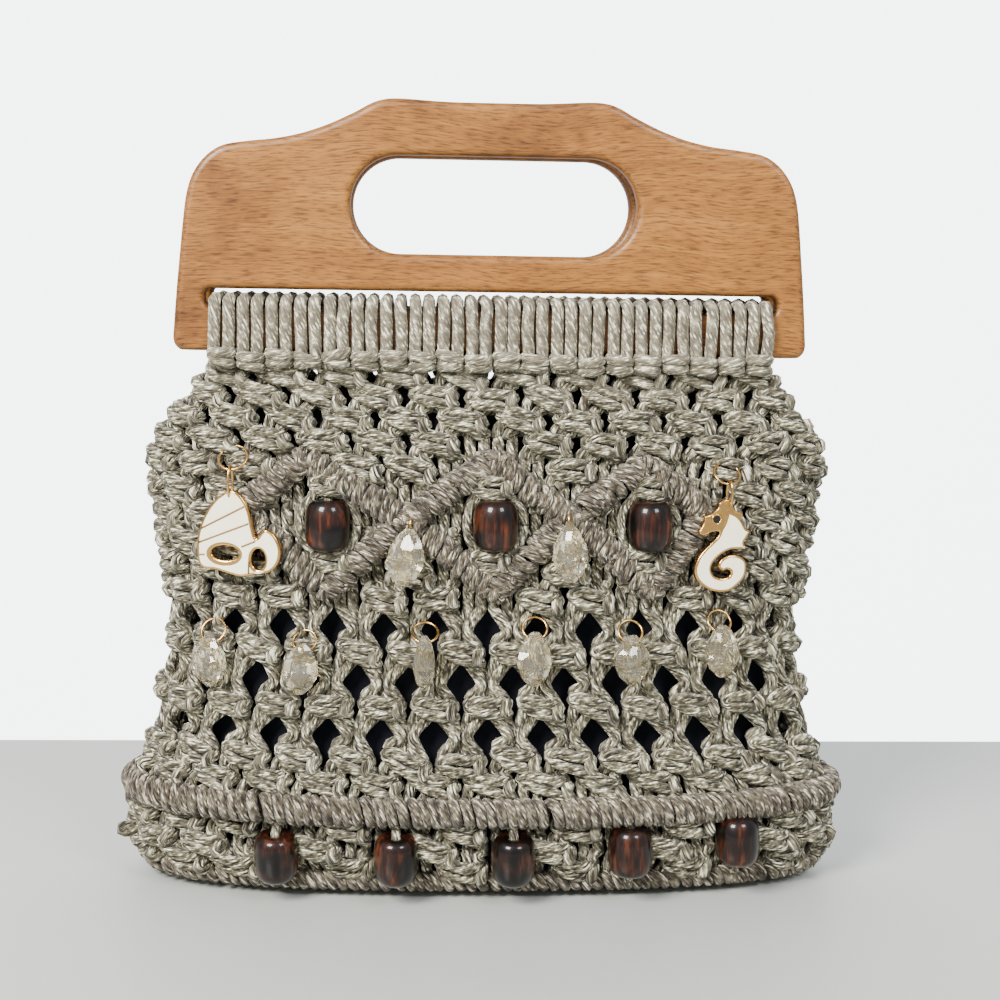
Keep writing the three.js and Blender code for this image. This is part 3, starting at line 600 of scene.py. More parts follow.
def tubes(name, routes, radius, sides):
    """Round tubes along routes in mm: at each point a ring of the radius in the plane across
    the route, turned as little as can be from the ring before, and closed at both ends.
    UV is the share round and the length along, with each tube at its own length."""
    count = len(routes)
    longest = max(len(r) for r in routes)
    padded = np.stack([np.concatenate([r, np.repeat(r[-1:], longest - len(r), 0)]) for r in routes])
    ahead = np.concatenate([padded[:, 1:], padded[:, -1:]], axis=1)
    behind = np.concatenate([padded[:, :1], padded[:, :-1]], axis=1)
    tangent = ahead - behind
    for k, r in enumerate(routes):
        tangent[k, len(r) - 1:] = r[-1] - r[-2]
    tangent /= np.linalg.norm(tangent, axis=-1, keepdims=True) + 1e-12
    normal = np.empty_like(padded)
    pick = np.where(np.abs(tangent[:, 0, 2:]) > 0.9, [[1.0, 0, 0]], [[0, 0, 1.0]])
    current = np.cross(tangent[:, 0], pick)
    for k in range(longest):
        current = current - tangent[:, k] * np.sum(current * tangent[:, k], axis=1, keepdims=True)
        current /= np.linalg.norm(current, axis=1, keepdims=True) + 1e-12
        normal[:, k] = current
    binormal = np.cross(tangent, normal)
    turn = (np.arange(sides) / sides * 2 * math.pi)[:, None]
    ring = normal[:, :, None] * np.cos(turn) + binormal[:, :, None] * np.sin(turn)
    spots = padded[:, :, None] + ring * radius
    length = np.linalg.norm(np.diff(padded, axis=1), axis=-1).cumsum(axis=1)
    length = np.concatenate([np.zeros((count, 1)), length], axis=1) * MM
    around = np.arange(sides)
    after = (around + 1) % sides
    vertices, faces, uvs, base = [], [], [], 0
    for k, r in enumerate(routes):
        n = len(r)
        vertices.append(spots[k, :n].reshape(-1, 3))
        rows = np.arange(n - 1)[:, None] * sides + base
        quads = np.stack([rows + around, rows + after, rows + sides + after, rows + sides + around], -1)
        faces += quads.reshape(-1, 4).tolist()
        along = length[k, :n] + TUBE_SHIFT * (k + 1)
        u, low = np.broadcast_arrays(around / sides, along[:-1, None])
        high = np.broadcast_to(along[1:, None], u.shape)
        next_u = u + 1 / sides
        corners = np.stack([u, low, next_u, low, next_u, high, u, high], axis=-1)
        uvs.append(corners.reshape(-1, 2))
        faces += [(base + around[::-1]).tolist(), (base + (n - 1) * sides + around).tolist()]
        uvs.append(np.column_stack([around[::-1] / sides, np.full(sides, along[0])]))
        uvs.append(np.column_stack([around / sides, np.full(sides, along[-1])]))
        base += n * sides
    return new_piece(name, in_frame(np.concatenate(vertices)), faces, np.concatenate(uvs))


CORD_STEP = 1.45
CORD_SIDES = 7


def panel_cords(side):
    """The routes in mm of the 56 cords of the front, side -1, or back, side 1. The back is
    turned half round. The middle cords start on the rail, the others at their first row."""
    plan, started = cord_plan(side < 0)
    spots = lattice(plan[..., 0], plan[..., 1], plan[..., 2]) * (-side, -side, 1)
    hung, ends = loop_start(side), base_end(side)
    routes = []
    for k, slot in enumerate(SLOTS):
        on_rail = -LOOP_PAIRS <= slot < LOOP_PAIRS
        parts = [hung[k], spots[k]] if on_rail else [spots[k, started[k] * ROW_POINTS:]]
        routes.append(even_steps(smooth_route(np.concatenate([*parts, ends[k]]), 6), CORD_STEP))
    return routes


YARNS = 18.0
YARN_TURNS = 36.0
# Heights in mm over which painted light makes the cord paler towards the rails.
PAINTED_LIGHT_FROM = 196.0
PAINTED_LIGHT_TO = 220.0


def cord_yarn(name, *stops):
    """Heathered cord: 18 yarns lie round it and turn slowly along it. Each yarn takes one of
    five greys by its number and the place along, with a low ridge, painted shade in the
    grooves between yarns, and fine hairs. Painted light makes the cord paler from the top
    rows up to the rails."""
    made, tree, shader = material(
        name, Roughness=0.9, Specular_IOR_Level=0.2, Sheen_Weight=0.15, Sheen_Roughness=0.5)
    split = node(tree, "ShaderNodeSeparateXYZ", {0: node(tree, "ShaderNodeUVMap").outputs["UV"]})
    around, along = split.outputs["X"], split.outputs["Y"]
    lean = maths(tree, "MULTIPLY_ADD", along, YARN_TURNS, around)
    count = maths(tree, "MULTIPLY", lean, YARNS)
    lane = maths(tree, "FLOORED_MODULO", count, YARNS)
    number = maths(tree, "FLOOR", lane)
    slow = maths(tree, "MULTIPLY", along, 230.0)
    spot = node(tree, "ShaderNodeCombineXYZ", {0: number, 1: slow}).outputs[0]
    apart = vectors(tree, "MULTIPLY", spot, (7.3, 1.0, 1.0))
    heather = ramp(tree, noise(tree, apart, 1.0, 2.0, 0.7)["Fac"], *stops)
    hump = maths(tree, "MULTIPLY", maths(tree, "FRACT", lane), math.pi)
    ridge = maths(tree, "SINE", hump)
    # Painted shade darkens the grooves between the yarns.
    groove_shade = ramp(tree, ridge, (0.0, 0.42, 0.4, 0.36), (0.5, 1, 1, 1))
    shaded = mixed(tree, 0.85, heather, groove_shade, "MULTIPLY")
    # Painted light makes the cord paler from the top rows up to the rails.
    level = node(tree, "ShaderNodeSeparateXYZ", {0: object_place(tree)}).outputs["Z"]
    painted_light_rise = node(tree, "ShaderNodeMapRange",
                  {"Value": level, "From Min": PAINTED_LIGHT_FROM * MM, "From Max": PAINTED_LIGHT_TO * MM})
    painted_light_top = mixed(tree, painted_light_rise.outputs["Result"], shaded, colour(0.36, 0.33, 0.28), "SCREEN")
    tree.links.new(painted_light_top, shader.inputs["Base Color"])
    hair_spot = node(tree, "ShaderNodeCombineXYZ", {0: count, 1: along}).outputs[0]
    fine = vectors(tree, "MULTIPLY", hair_spot, (2.2, 900.0, 1.0))
    bumped(tree, shader, (ridge, 0.8, 0.5), (noise(tree, fine, 1.0, 3.0)["Fac"], 0.5, 0.3))
    return made


green_cord = cord_yarn(
    "macrame_cord", (0.35, 0.11, 0.09, 0.06), (0.43, 0.28, 0.255, 0.19),
    (0.5, 0.44, 0.415, 0.335), (0.57, 0.66, 0.635, 0.53), (0.63, 1.0, 0.98, 0.86))
taupe_cord = cord_yarn(
    "macrame_cord_taupe", (0.35, 0.12, 0.095, 0.065), (0.43, 0.255, 0.22, 0.17),
    (0.5, 0.385, 0.345, 0.28), (0.57, 0.55, 0.51, 0.43), (0.63, 0.86, 0.82, 0.72))

for panel, side in (("front_panel", -1), ("back_panel", 1)):
    routes = panel_cords(side)
    for half, part in (("cords_even", routes[0::2]), ("cords_odd", routes[1::2])):
        cords = tubes(panel.replace("panel", half), part, CORD / 2, CORD_SIDES)
        stand_for(cords, panel, green_cord)

# Rolled bars under the handles
# Each pair of cords is caught under the rail by two short turns of cord across it,
# which hide the plates' bottom edges.

BAR_HALF = 3.75
BAR_TOP = 216.6
BAR_STEP = 2.9
WOUND_CORD = 4.6
bar_chance = np.random.default_rng(21)


def rolled_bars(side):
    """Short arches across each cord pair: x runs over the pair while y bows out from behind
    it and back. The second arch lies half over the first, and each leans a little."""
    out = HANDLE_MIDDLE + HANDLE_THICK / 2 + CORD * 1.15
    across = np.array([-0.8, -1.02, -0.7, 0.0, 0.7, 1.02, 0.8]) * BAR_HALF
    deep = np.array([-7.0, -3.2, -0.2, 1.3, -0.2, -3.2, -7.0])
    routes = []
    for x in (np.arange(LOOP_PAIRS) - (LOOP_PAIRS - 1) / 2) * LOOP_PITCH:
        for k in range(2):
            lean, shift = bar_chance.normal(0, 0.16), bar_chance.normal(0, 0.7)
            z = BAR_TOP - BAR_STEP * k + shift + across * (lean - 0.06)
            bar = np.column_stack([x + across, side * (out + deep - 0.9 * k), z])
            routes.append(even_steps(smooth_route(bar, 5), CORD_STEP))
    return routes


for panel, side in (("front_panel", -1), ("back_panel", 1)):
    bars = tubes(panel.replace("panel", "bars"), rolled_bars(side), WOUND_CORD / 2, CORD_SIDES)
    stand_for(bars, panel, green_cord)

# Wound ridges
# Cords laid along zigzag lines and rounds, with every hanging cord hitched over them, so
# that they look like a rope wound with close turns. One more ridge closes the base.

RIDGE_LINES = [
    ("left_top", "left_corner", "left_foot", "left_crossing", "left_top"),
    ("left_crossing", "middle_top", "right_crossing", "middle_foot", "left_crossing"),
    ("right_crossing", "right_top", "right_corner", "right_foot", "right_crossing"),
]
WIND_PITCH = 4.2
TURN_POINTS = 14
WAIST_RISE = 40.0
WAIST_SAG = 2.5
FOOT_RISE = 5.2
ridge_chance = np.random.default_rng(5)


def share_at(x, z):
    """The share along the front half section where it passes x at height z."""
    level = np.clip(np.round(z).astype(int), 0, len(LEVELS) - 1)
    return np.array([np.interp(a, SKIN[k, :, 0], SHARES) for a, k in zip(x, level)])


def wound(shares, heights, half_wide, half_deep, out):
    """A helix round a line on the surface: at each point of the line the turn angle grows by
    the length over the winding pitch, and the cord goes half_wide aside and half_deep out."""
    line = on_skin(shares, heights, out)
    inner = on_skin(shares, heights, out - 1)
    run = np.concatenate([[0], np.cumsum(np.linalg.norm(np.diff(line, axis=0), axis=1))])
    place = np.linspace(0, run[-1], int(run[-1] / WIND_PITCH * TURN_POINTS))
    uneven = np.interp(place, np.linspace(0, run[-1], 40), ridge_chance.normal(0, 0.22, 40))
    angle = 2 * math.pi * (place / WIND_PITCH + uneven)
    spot = np.column_stack([np.interp(place, run, line[:, k]) for k in range(3)])
    back = np.column_stack([np.interp(place, run, inner[:, k]) for k in range(3)])
    normal = spot - back
    normal /= np.linalg.norm(normal, axis=1, keepdims=True)
    tangent = np.gradient(spot, axis=0)
    tangent /= np.linalg.norm(tangent, axis=1, keepdims=True)
    aside = np.cross(normal, tangent)
    cos, sin = np.cos(angle)[:, None], np.sin(angle)[:, None]
    return spot + aside * cos * half_wide + normal * sin * half_deep + tangent * sin * 0.6


def ridge_routes(side):
    """The zigzags of the front and the two rounds at the waist and the base."""
    routes = []
    for names in RIDGE_LINES if side < 0 else []:
        for start, end in zip(names[:-1], names[1:]):
            a, b = np.array(DIAMOND_CORNERS[start]), np.array(DIAMOND_CORNERS[end])
            x, z = (a + (b - a) * np.linspace(-0.03, 1.03, 30)[:, None]).T
            routes.append(wound(share_at(x, z), z, 4.0, 3.6, -1.2))
    share = np.linspace(-1, 1, 400)
    waist = wound(share, WAIST_RISE - WAIST_SAG * (1 - share**2), 4.4, 3.6, -2.4)
    foot = wound(share, FOOT_RISE, 2.4, 2.2, -2.6)
    routes += [waist * (-side, -side, 1), foot * (-side, -side, 1)]
    return [even_steps(route, CORD_STEP) for route in routes]


for panel, side in (("front_panel", -1), ("back_panel", 1)):
    ridges = tubes(panel.replace("panel", "ridges"), ridge_routes(side), WOUND_CORD / 2, CORD_SIDES)
    stand_for(ridges, panel, taupe_cord)

# Lining
# An open pouch of thin near-black cotton hung just inside the cords, which shows through
# the net. Its upper edge lies just under the rolled bars.

LINING_TOP = 206.0
LINING_FLOOR = 8.0
LINING_IN = 11.8
LINING_NARROW = 0.925
LINING_THICK = 0.7


def lining_pouch():
    """A wall round the inside at a set distance from the surface, with low upright folds,
    and a floor that closes it: rings of the wall shrunk to the middle line. Returns the
    piece and the wall's mean length round in metres."""
    heights = np.linspace(LINING_TOP, LINING_FLOOR, 60)
    share, z = np.meshgrid(np.linspace(-1, 1, 121), heights)
    fold = 0.5 * np.sin(share * 41) + 0.35 * np.sin(share * 23 + z * 0.03)
    front = on_skin(share * LINING_NARROW, z, -LINING_IN + fold)
    back = front[:, ::-1] * (1, -1, 1)
    ring = np.concatenate([front[:, :-1], back[:, :-1]], axis=1)
    ring[:, :, 2] = z[:, :1]
    shrink = np.array([0.75, 0.5, 0.25, 0.02])
    scale = np.column_stack([1 - (1 - shrink) * 0.2, shrink, np.ones(4)])[:, None]
    centre = np.array([1.0, 0.0, LINING_FLOOR])
    grid = np.concatenate([ring, centre + (ring[-1] - centre) * scale])
    index = np.arange(grid.shape[0] * grid.shape[1]).reshape(grid.shape[:2])
    right = np.roll(index, -1, axis=1)
    quads = np.stack([index[:-1], index[1:], right[1:], right[:-1]], axis=-1).reshape(-1, 4)
    piece = new_piece("lining_cloth", in_frame(grid.reshape(-1, 3)), quads)
    around = np.linalg.norm(np.roll(ring, -1, axis=1) - ring, axis=-1).sum(axis=1).mean() * MM
    return piece, around


def lining_cotton():
    """Near-black plain weave: two crossed waves of fine threads, and a slight cloudiness."""
    made, tree, shader = material("lining_cloth", Roughness=0.93, Specular_IOR_Level=0.15)
    place = object_place(tree)
    tint = ramp(tree, noise(tree, place, 40.0, 3.0)["Fac"], (0.3, 0.07, 0.075, 0.10),
                (0.7, 0.115, 0.12, 0.15))
    tree.links.new(tint, shader.inputs["Base Color"])
    threads = [node(tree, "ShaderNodeTexWave", {"Vector": place, "Scale": 420.0},
                    bands_direction=way).outputs["Fac"] for way in "XZ"]
    bumped(tree, shader, (maths(tree, "ADD", *threads), 0.3, 0.1))
    return made


pouch, pouch_round = lining_pouch()
areas = np.empty(len(pouch.data.polygons))
pouch.data.polygons.foreach_get("area", areas)
thickness = pouch.modifiers.new("thickness", "SOLIDIFY")
thickness.thickness = LINING_THICK * MM
thickness.offset = 0
stand_for(pouch, "lining", lining_cotton())

# Wooden beads
# Barrel beads of dark red-brown wood, turned, drilled from end to end and lacquered. Each
# is threaded on a cord of the wall, with a square knot over it.

BEAD_WIDTH = 18.0
BEAD_HEIGHT = 20.0
BEAD_HOLE = 5.0
BEAD_LAND = 0.7
BEAD_OUT = 1.2
BEAD_SIDES = 36


def front_frame(x, z):
    """A point of the front at x and z, and the directions there: across, into the body and
    up the surface."""
    share = share_at(np.array([x]), np.array([z]))
    across = (on_skin(share + 0.02, z, 0.0) - on_skin(share - 0.02, z, 0.0))[0]
    rise = (on_skin(share, z + 3.0, 0.0) - on_skin(share, z - 3.0, 0.0))[0]
    across[2] = 0
    across /= np.linalg.norm(across)
    inward = np.cross(rise, across)
    inward /= np.linalg.norm(inward)
    return on_skin(share, z, 0.0)[0], across, inward, np.cross(across, inward)


def in_place(local, x, z):
    """Points given across, into the body and up, put on the front at x and z."""
    origin, across, inward, rise = front_frame(x, z)
    return origin + local @ np.stack([across, inward, rise])


def ring_faces(rows, columns):
    """Quads over a grid of points that closes on itself both ways."""
    index = np.arange(rows * columns).reshape(rows, columns)
    ahead = np.roll(index, -1, axis=0)
    quads = np.stack([index, np.roll(index, -1, axis=1), np.roll(ahead, -1, axis=1), ahead], axis=-1)
    return quads.reshape(-1, 4)


def turned_bead(name, x, z):
    """A lathe shape on the front at x and z: from the hole's bottom edge out and up over the
    barrel to the top edge and back down the hole, where the barrel's radius is the
    superellipse of its height, and each point of this profile is turned round."""
    lift = np.linspace(-0.5, 0.5, 23) * math.pi
    hole = BEAD_HOLE / 2
    height = np.sign(lift) * np.abs(np.sin(lift)) ** 0.8 * BEAD_HEIGHT / 2
    radius = hole + BEAD_LAND + (BEAD_WIDTH / 2 - hole - BEAD_LAND) * np.cos(lift) ** 0.62
    inner = np.array([0.93, 0.0, -0.93]) * BEAD_HEIGHT / 2
    height = np.concatenate([height, inner])[:, None]
    radius = np.concatenate([radius, np.full(3, hole)])[:, None]
    turn = np.arange(BEAD_SIDES) / BEAD_SIDES * 2 * math.pi
    y = radius * np.sin(turn) - BEAD_OUT
    grid = np.stack(np.broadcast_arrays(radius * np.cos(turn), y, height), axis=-1)
    spots = in_frame(in_place(grid.reshape(-1, 3), x, z))
    return new_piece(name, spots, ring_faces(len(radius), BEAD_SIDES))


def bead_lacquer():
    """Dark red-brown wood under clear lacquer: grain along the bead with redder streaks, and
    a hard gloss."""
    made, tree, shader = material("bead_wood", Roughness=0.35, Coat_Weight=1.0, Coat_IOR=1.3,
                                  Coat_Roughness=0.04, Specular_IOR_Level=0.12)
    place = object_place(tree)
    grain = noise(tree, stretched(tree, place, (420, 420, 60)), 1.0, 4.0, 0.6)["Fac"]
    tint = ramp(tree, grain, (0.3, 0.05, 0.02, 0.015), (0.5, 0.14, 0.055, 0.03),
                (0.72, 0.36, 0.175, 0.08))
    stain = ramp(tree, noise(tree, place, 95.0, 1.0)["Fac"], (0.42, 0.3, 0.26, 0.27), (0.64, 1, 1, 1))
    tree.links.new(mixed(tree, 1.0, tint, stain, "MULTIPLY"), shader.inputs["Base Color"])
    bumped(tree, shader, (grain, 0.12, 0.2))
    return made


lacquer = bead_lacquer()
for name, x, z in BEADS:
    stand_for(turned_bead("turned_" + name, x, z), name, lacquer)

# Cords through and round the beads
# A cord runs through each bead, and an oval of cord lies round each of the upper three.

BEAD_CORD = 3.8
BEAD_LOOP_WIDE = 11.2
BEAD_LOOP_HIGH = 12.4


def bead_cords():
    """A straight cord on each bead's axis, and an oval of cord close round the upper beads:
    x is the cosine raised to 0.8, z the sine, and y falls back at its top and bottom."""
    routes = []
    rise = np.linspace(-14.0, 14.0, 12)
    axis = np.column_stack([0 * rise, np.where(np.abs(rise) > 11, 2.0, -BEAD_OUT), rise])
    turn = np.linspace(0, 2 * math.pi, 60)
    loop = np.column_stack([
        BEAD_LOOP_WIDE * np.sign(np.cos(turn)) * np.abs(np.cos(turn)) ** 0.8,
        0.6 + 1.4 * np.abs(np.sin(turn)), BEAD_LOOP_HIGH * np.sin(turn)])
    for name, x, z in BEADS:
        for local in [axis, loop] if "mid" in name else [axis]:
            routes.append(even_steps(in_place(local, x, z), CORD_STEP))
    return routes


stand_for(tubes("bead_cords", bead_cords(), BEAD_CORD / 2, CORD_SIDES), "front_panel", green_cord)

# Gilt rings and links
# Round wire of gilt brass, bent into jump rings that pass through a cord and into long
# links, from which the drops and charms hang.

RING_WIRE = 1.0
RING_POINTS = 48
WIRE_SIDES = 12

# Rings of the drops: number, x and z of the middle, radius, edge on, distance of the drop
DROP_RINGS = [
    (1, -31.5, 152.0, 4.2, True, 6.6), (2, 29.9, 154.0, 4.2, True, 6.6),
    (3, -109.0, 107.5, 5.1, False, 5.0), (4, -72.6, 105.6, 4.6, False, 5.0),
    (5, -25.5, 110.2, 5.1, False, 7.2), (6, 17.6, 112.0, 4.8, False, 5.0),
    (7, 55.6, 110.4, 4.8, False, 5.0), (8, 91.9, 113.4, 4.8, False, 5.0),
]

# Charms: name, x and z of the ring's middle, ring radius, fall to the hole, distance out
CHARMS = [("sail", -100.6, 177.0, 5.6, 15.6, 5.4), ("seahorse", 92.9, 173.0, 5.2, 13.1, 5.4)]
CHARM_RISE = 14.0
LINK_WIDE = 2.9


def wire_oval(half_wide, half_high, tip, edge):
    """An oval of wire as a closed torus: the ring's points are the oval, x right and z up,
    or y and z when edge on, tipped about x by the tip angle, with a round section."""
    turn = np.arange(RING_POINTS)[:, None] / RING_POINTS * 2 * math.pi
    section = (np.arange(WIRE_SIDES) / WIRE_SIDES * 2 * math.pi)[:, None]
    centre = np.stack([half_wide * np.cos(turn), 0 * turn, half_high * np.sin(turn)], -1)
    out = np.stack([np.cos(turn) * half_high, 0 * turn, np.sin(turn) * half_wide], -1)
    out /= np.linalg.norm(out, axis=-1, keepdims=True)
    spots = centre + RING_WIRE / 2 * (out * np.cos(section) + (0, 1, 0) * np.sin(section))
    if edge:
        spots = spots[..., [1, 0, 2]] * (-1, 1, 1)
    cos, sin = math.cos(-tip), math.sin(-tip)
    x, y, z = np.moveaxis(spots, -1, 0)
    return np.stack([x, y * cos - z * sin, y * sin + z * cos], -1).reshape(-1, 3)


def gilt_brass():
    """Bright gilt brass with small dull spots."""
    made, tree, shader = material("gilt_wire", Base_Color=colour(0.78, 0.61, 0.36), Metallic=1.0)
    spots = noise(tree, object_place(tree), 700.0, 2.0)["Fac"]
    rough = node(tree, "ShaderNodeMapRange", {"Value": spots, "From Min": 0.3, "From Max": 0.7,
                                              "To Min": 0.12, "To Max": 0.32})
    tree.links.new(rough.outputs["Result"], shader.inputs["Roughness"])
    return made


gilt = gilt_brass()


def wire_piece(name, spots, x, z, replaced):
    """A wire torus as a gilt piece on the front at x and z."""
    faces = ring_faces(RING_POINTS, WIRE_SIDES)
    piece = new_piece(name, in_frame(in_place(spots, x, z)), faces)
    stand_for(piece, replaced, gilt)


for number, x, z, radius, edge, out in DROP_RINGS:
    hang_out = out - 1.4 if edge else out - 1.0
    tip = 0.0 if edge else math.asin((hang_out + 1.6) / (2 * radius))
    middle = -hang_out + (radius * 1.1 if edge else radius * math.sin(tip))
    ring = wire_oval(radius, radius, tip, edge) + (0, middle, 0)
    wire_piece(f"jump_ring_{number}", ring, x, z, f"drop_ring_{number}")

for name, x, z, radius, fall, out in CHARMS:
    tip = math.asin((out + 1.6) / (2 * radius))
    hole = CHARM_RISE - fall
    link_top = CHARM_RISE - radius * math.cos(tip) + RING_WIRE + 0.4
    link_half = (link_top - hole) / 2
    ring = wire_oval(radius, radius, tip, False) + (0, -out + radius * math.sin(tip), CHARM_RISE)
    wire_piece(f"jump_ring_{name}", ring, x, z - CHARM_RISE, f"ring_{name}")
    link = wire_oval(LINK_WIDE, link_half, 0.0, True) + (0, -out, hole + link_half)
    wire_piece(f"long_link_{name}", link, x, z - CHARM_RISE, f"link_{name}")

# Clear drops
# Faceted pear drops of clear resin with a faint champagne tint, drilled near the top.
# Their solids already have the cut faces, so they take only the finish.


def clear_resin():
    """Clear resin with a warm tint and sharp reflections. Small cut faces are given by a
    normal that is turned a little by a random amount in each cell of a cell pattern."""
    made, tree, shader = material("clear_drop", Base_Color=colour(1.0, 0.965, 0.86), Roughness=0.02,
                                  IOR=1.56, Transmission_Weight=0.93)
    cells = node(tree, "ShaderNodeTexVoronoi", {"Vector": object_place(tree), "Scale": 230.0})
    turn = vectors(tree, "SUBTRACT", cells.outputs["Color"], (0.5, 0.5, 0.5))
    part = vectors(tree, "MULTIPLY", turn, (0.7, 0.7, 0.7))
    straight = node(tree, "ShaderNodeNewGeometry").outputs["Normal"]
    cut = vectors(tree, "NORMALIZE", vectors(tree, "ADD", straight, part))
    tree.links.new(cut, shader.inputs["Normal"])
    tint = ramp(tree, cells.outputs["Distance"], (0.2, 1.0, 0.985, 0.93), (0.7, 0.99, 0.92, 0.74))
    tree.links.new(tint, shader.inputs["Base Color"])
    return made


resin = clear_resin()
for number in range(1, 9):
    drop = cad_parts[f"drop_{number}"]
    for slot in drop.material_slots:
        slot.material = resin

# Enamel charms
# Flat castings with a gilt rim, filled with cream enamel. One is a boat's sail with two
# cut-outs, the other a seahorse with a curled tail.

CHARM_THICK = 3.2

# Outlines in mm from the hanging hole: right, up
SAIL_OUTLINE = np.array([
    (-1.4, 2.8), (0.2, 3.3), (3.4, 2.5), (6.5, -1.1), (8.3, -5.3), (9.6, -11.3), (11.0, -15.0),
    (13.2, -12.6), (15.0, -11.5), (18.1, -13.3), (20.4, -17.3), (20.8, -21.2), (19.4, -25.4),
    (16.3, -28.2), (11.9, -29.1), (8.3, -29.9), (4.8, -30.5), (0.4, -29.7), (-5.4, -28.2),
    (-10.3, -27.8), (-12.4, -25.6), (-13.0, -21.6), (-12.8, -15.6), (-11.2, -9.6), (-8.1, -3.6),
    (-4.5, 0.6)])
SEAHORSE_OUTLINE = np.array([
    (-3.1, 3.0), (-1.6, 3.5), (0.6, 2.6), (2.0, -0.9), (5.2, -2.2), (4.8, -5.0), (6.7, -8.2),
    (8.5, -9.5), (7.1, -12.3), (6.2, -14.1), (7.1, -16.4), (3.8, -16.6), (0.1, -16.8),
    (-3.6, -18.7), (-6.4, -21.4), (-7.3, -24.2), (-6.0, -26.9), (-3.1, -28.0), (0.1, -27.4),
    (0.8, -25.5), (-0.8, -24.6), (-2.6, -25.1), (-4.5, -23.2), (-3.1, -20.5), (0.1, -18.9),
    (3.8, -19.1), (6.7, -21.0), (7.5, -23.7), (6.7, -27.8), (3.8, -31.0), (0.1, -33.3),
    (-4.5, -33.5), (-9.2, -31.9), (-12.9, -28.7), (-14.3, -25.1), (-13.6, -21.4), (-11.5, -17.8),
    (-7.8, -14.1), (-5.0, -11.4), (-4.5, -9.5), (-7.3, -9.5), (-11.1, -10.8), (-12.8, -9.5),
    (-11.9, -7.7), (-10.8, -5.4), (-10.6, -3.2), (-7.8, -2.2), (-5.2, 0.0), (-4.7, 2.0)])


def oval(x, z, wide, high):
    """An oval cut-out as a closed outline."""
    turn = np.arange(28) / 28 * 2 * math.pi
    return np.column_stack([x + wide * np.cos(turn), z + high * np.sin(turn)])


def round_closed(points):
    """The Catmull-Rom curve through a closed outline."""
    looped = np.concatenate([points[-2:], points, points[:2]])
    return smooth_route(looped, 6)[12:-12]


def enamel_cream():
    """Cream enamel, smooth and glossy, with faint flow in its colour."""
    made, tree, shader = material("enamel", Roughness=0.16, Coat_Weight=0.6, Coat_Roughness=0.05)
    flow = noise(tree, object_place(tree), 160.0, 3.0)["Fac"]
    tint = ramp(tree, flow, (0.35, 0.99, 0.95, 0.81), (0.65, 1.0, 0.98, 0.87))
    tree.links.new(tint, shader.inputs["Base Color"])
    return made


enamel = enamel_cream()
EYE_SPOT = (-5.7, -4.4)
SAIL_CUTS = [oval(-1.6, -21.4, 5.6, 2.9), oval(11.9, -23.3, 2.8, 4.1)]
SAIL_COAT_CUTS = [oval(-1.8, -21.8, 6.3, 3.7), oval(11.8, -23.5, 2.9, 4.3)]
SEAHORSE_COAT = np.concatenate([
    [(-1.3, -1.8), (2.2, -2.6)], SEAHORSE_OUTLINE[5:39], [(-4.0, -9.2), (-2.2, -5.6)]])
CHARM_SHAPES = {
    "sail": ([round_closed(SAIL_OUTLINE), *SAIL_CUTS], [round_closed(SAIL_OUTLINE), *SAIL_COAT_CUTS]),
    "seahorse": ([round_closed(SEAHORSE_OUTLINE), oval(*EYE_SPOT, 1.5, 1.5)],
                 [round_closed(SEAHORSE_COAT)]),
}

ENAMEL_IN = 1.0
ENAMEL_THICK = 0.6
ENAMEL_PROUD = 0.12
ENAMEL_ROUND = 0.12
CHARM_ROUND = 0.7

# Gilt lines across the sail, from and to in mm from the hanging hole
SAIL_LINES = [
    ((-11.3, -12.1), (6.2, -2.8)), ((-12.5, -17.7), (8.0, -9.4)), ((5.2, -18.6), (10.8, -16.2)),
    ((-12.6, -22.4), (-9.8, -22.3)), ((8.2, -24.0), (8.1, -29.2)),
]
EYE_ROUND = 1.9
LINE_WIRE = 0.8
EYE_WIRE = 0.9


def charm_place(charm, across, y, rise):
    """Points in mm from a charm's hanging hole, y from the surface, put on the front."""
    _, x, z, _, fall, _ = charm
    local = np.column_stack([across, y, rise + (CHARM_RISE - fall)])
    return in_place(local, x, z - CHARM_RISE)


def charm_layer(charm, name, outlines, thick, rounding, inset, y, finish):
    """A flat layer of a charm with round edges: outlines in mm from its hanging hole."""
    mesh, across, rise, deep = rounded_plate(name, outlines, thick, rounding, inset, 2)
    mesh.vertices.foreach_set("co", in_frame(charm_place(charm, across, y - deep, rise)).ravel())
    mesh.update()
    stand_for(added(name, mesh), "charm_" + charm[0], finish)


def charm_wires(charm, name, routes, thick, y, finish):
    """Wires on a charm's face along routes in mm from its hanging hole: right, up."""
    laid = [charm_place(charm, r[:, 0], np.full(len(r), y), r[:, 1]) for r in routes]
    stand_for(tubes(name, laid, thick / 2, 8), "charm_" + charm[0], finish)


for charm in CHARMS:
    name, out = charm[0], charm[-1]
    casting, coat = CHARM_SHAPES[name]
    charm_layer(charm, "casting_" + name, casting, CHARM_THICK, CHARM_ROUND, 0, -out, gilt)
    face = -out - CHARM_THICK / 2 + ENAMEL_THICK / 2 - ENAMEL_PROUD
    charm_layer(charm, "enamel_" + name, coat, ENAMEL_THICK, ENAMEL_ROUND, ENAMEL_IN, face, enamel)

sail, seahorse = CHARMS
along = np.linspace(0, 1, 12)[:, None]
sail_routes = [np.array(a) * (1 - along) + np.array(b) * along for a, b in SAIL_LINES]
line_gilt, _, _ = material("gilt_in_the_lines", Base_Color=colour(0.55, 0.42, 0.27), Metallic=1.0,
                           Roughness=0.5)
sail_face = -sail[-1] - CHARM_THICK / 2 - ENAMEL_PROUD
charm_wires(sail, "sail_lines", sail_routes, LINE_WIRE, sail_face + 0.1, line_gilt)

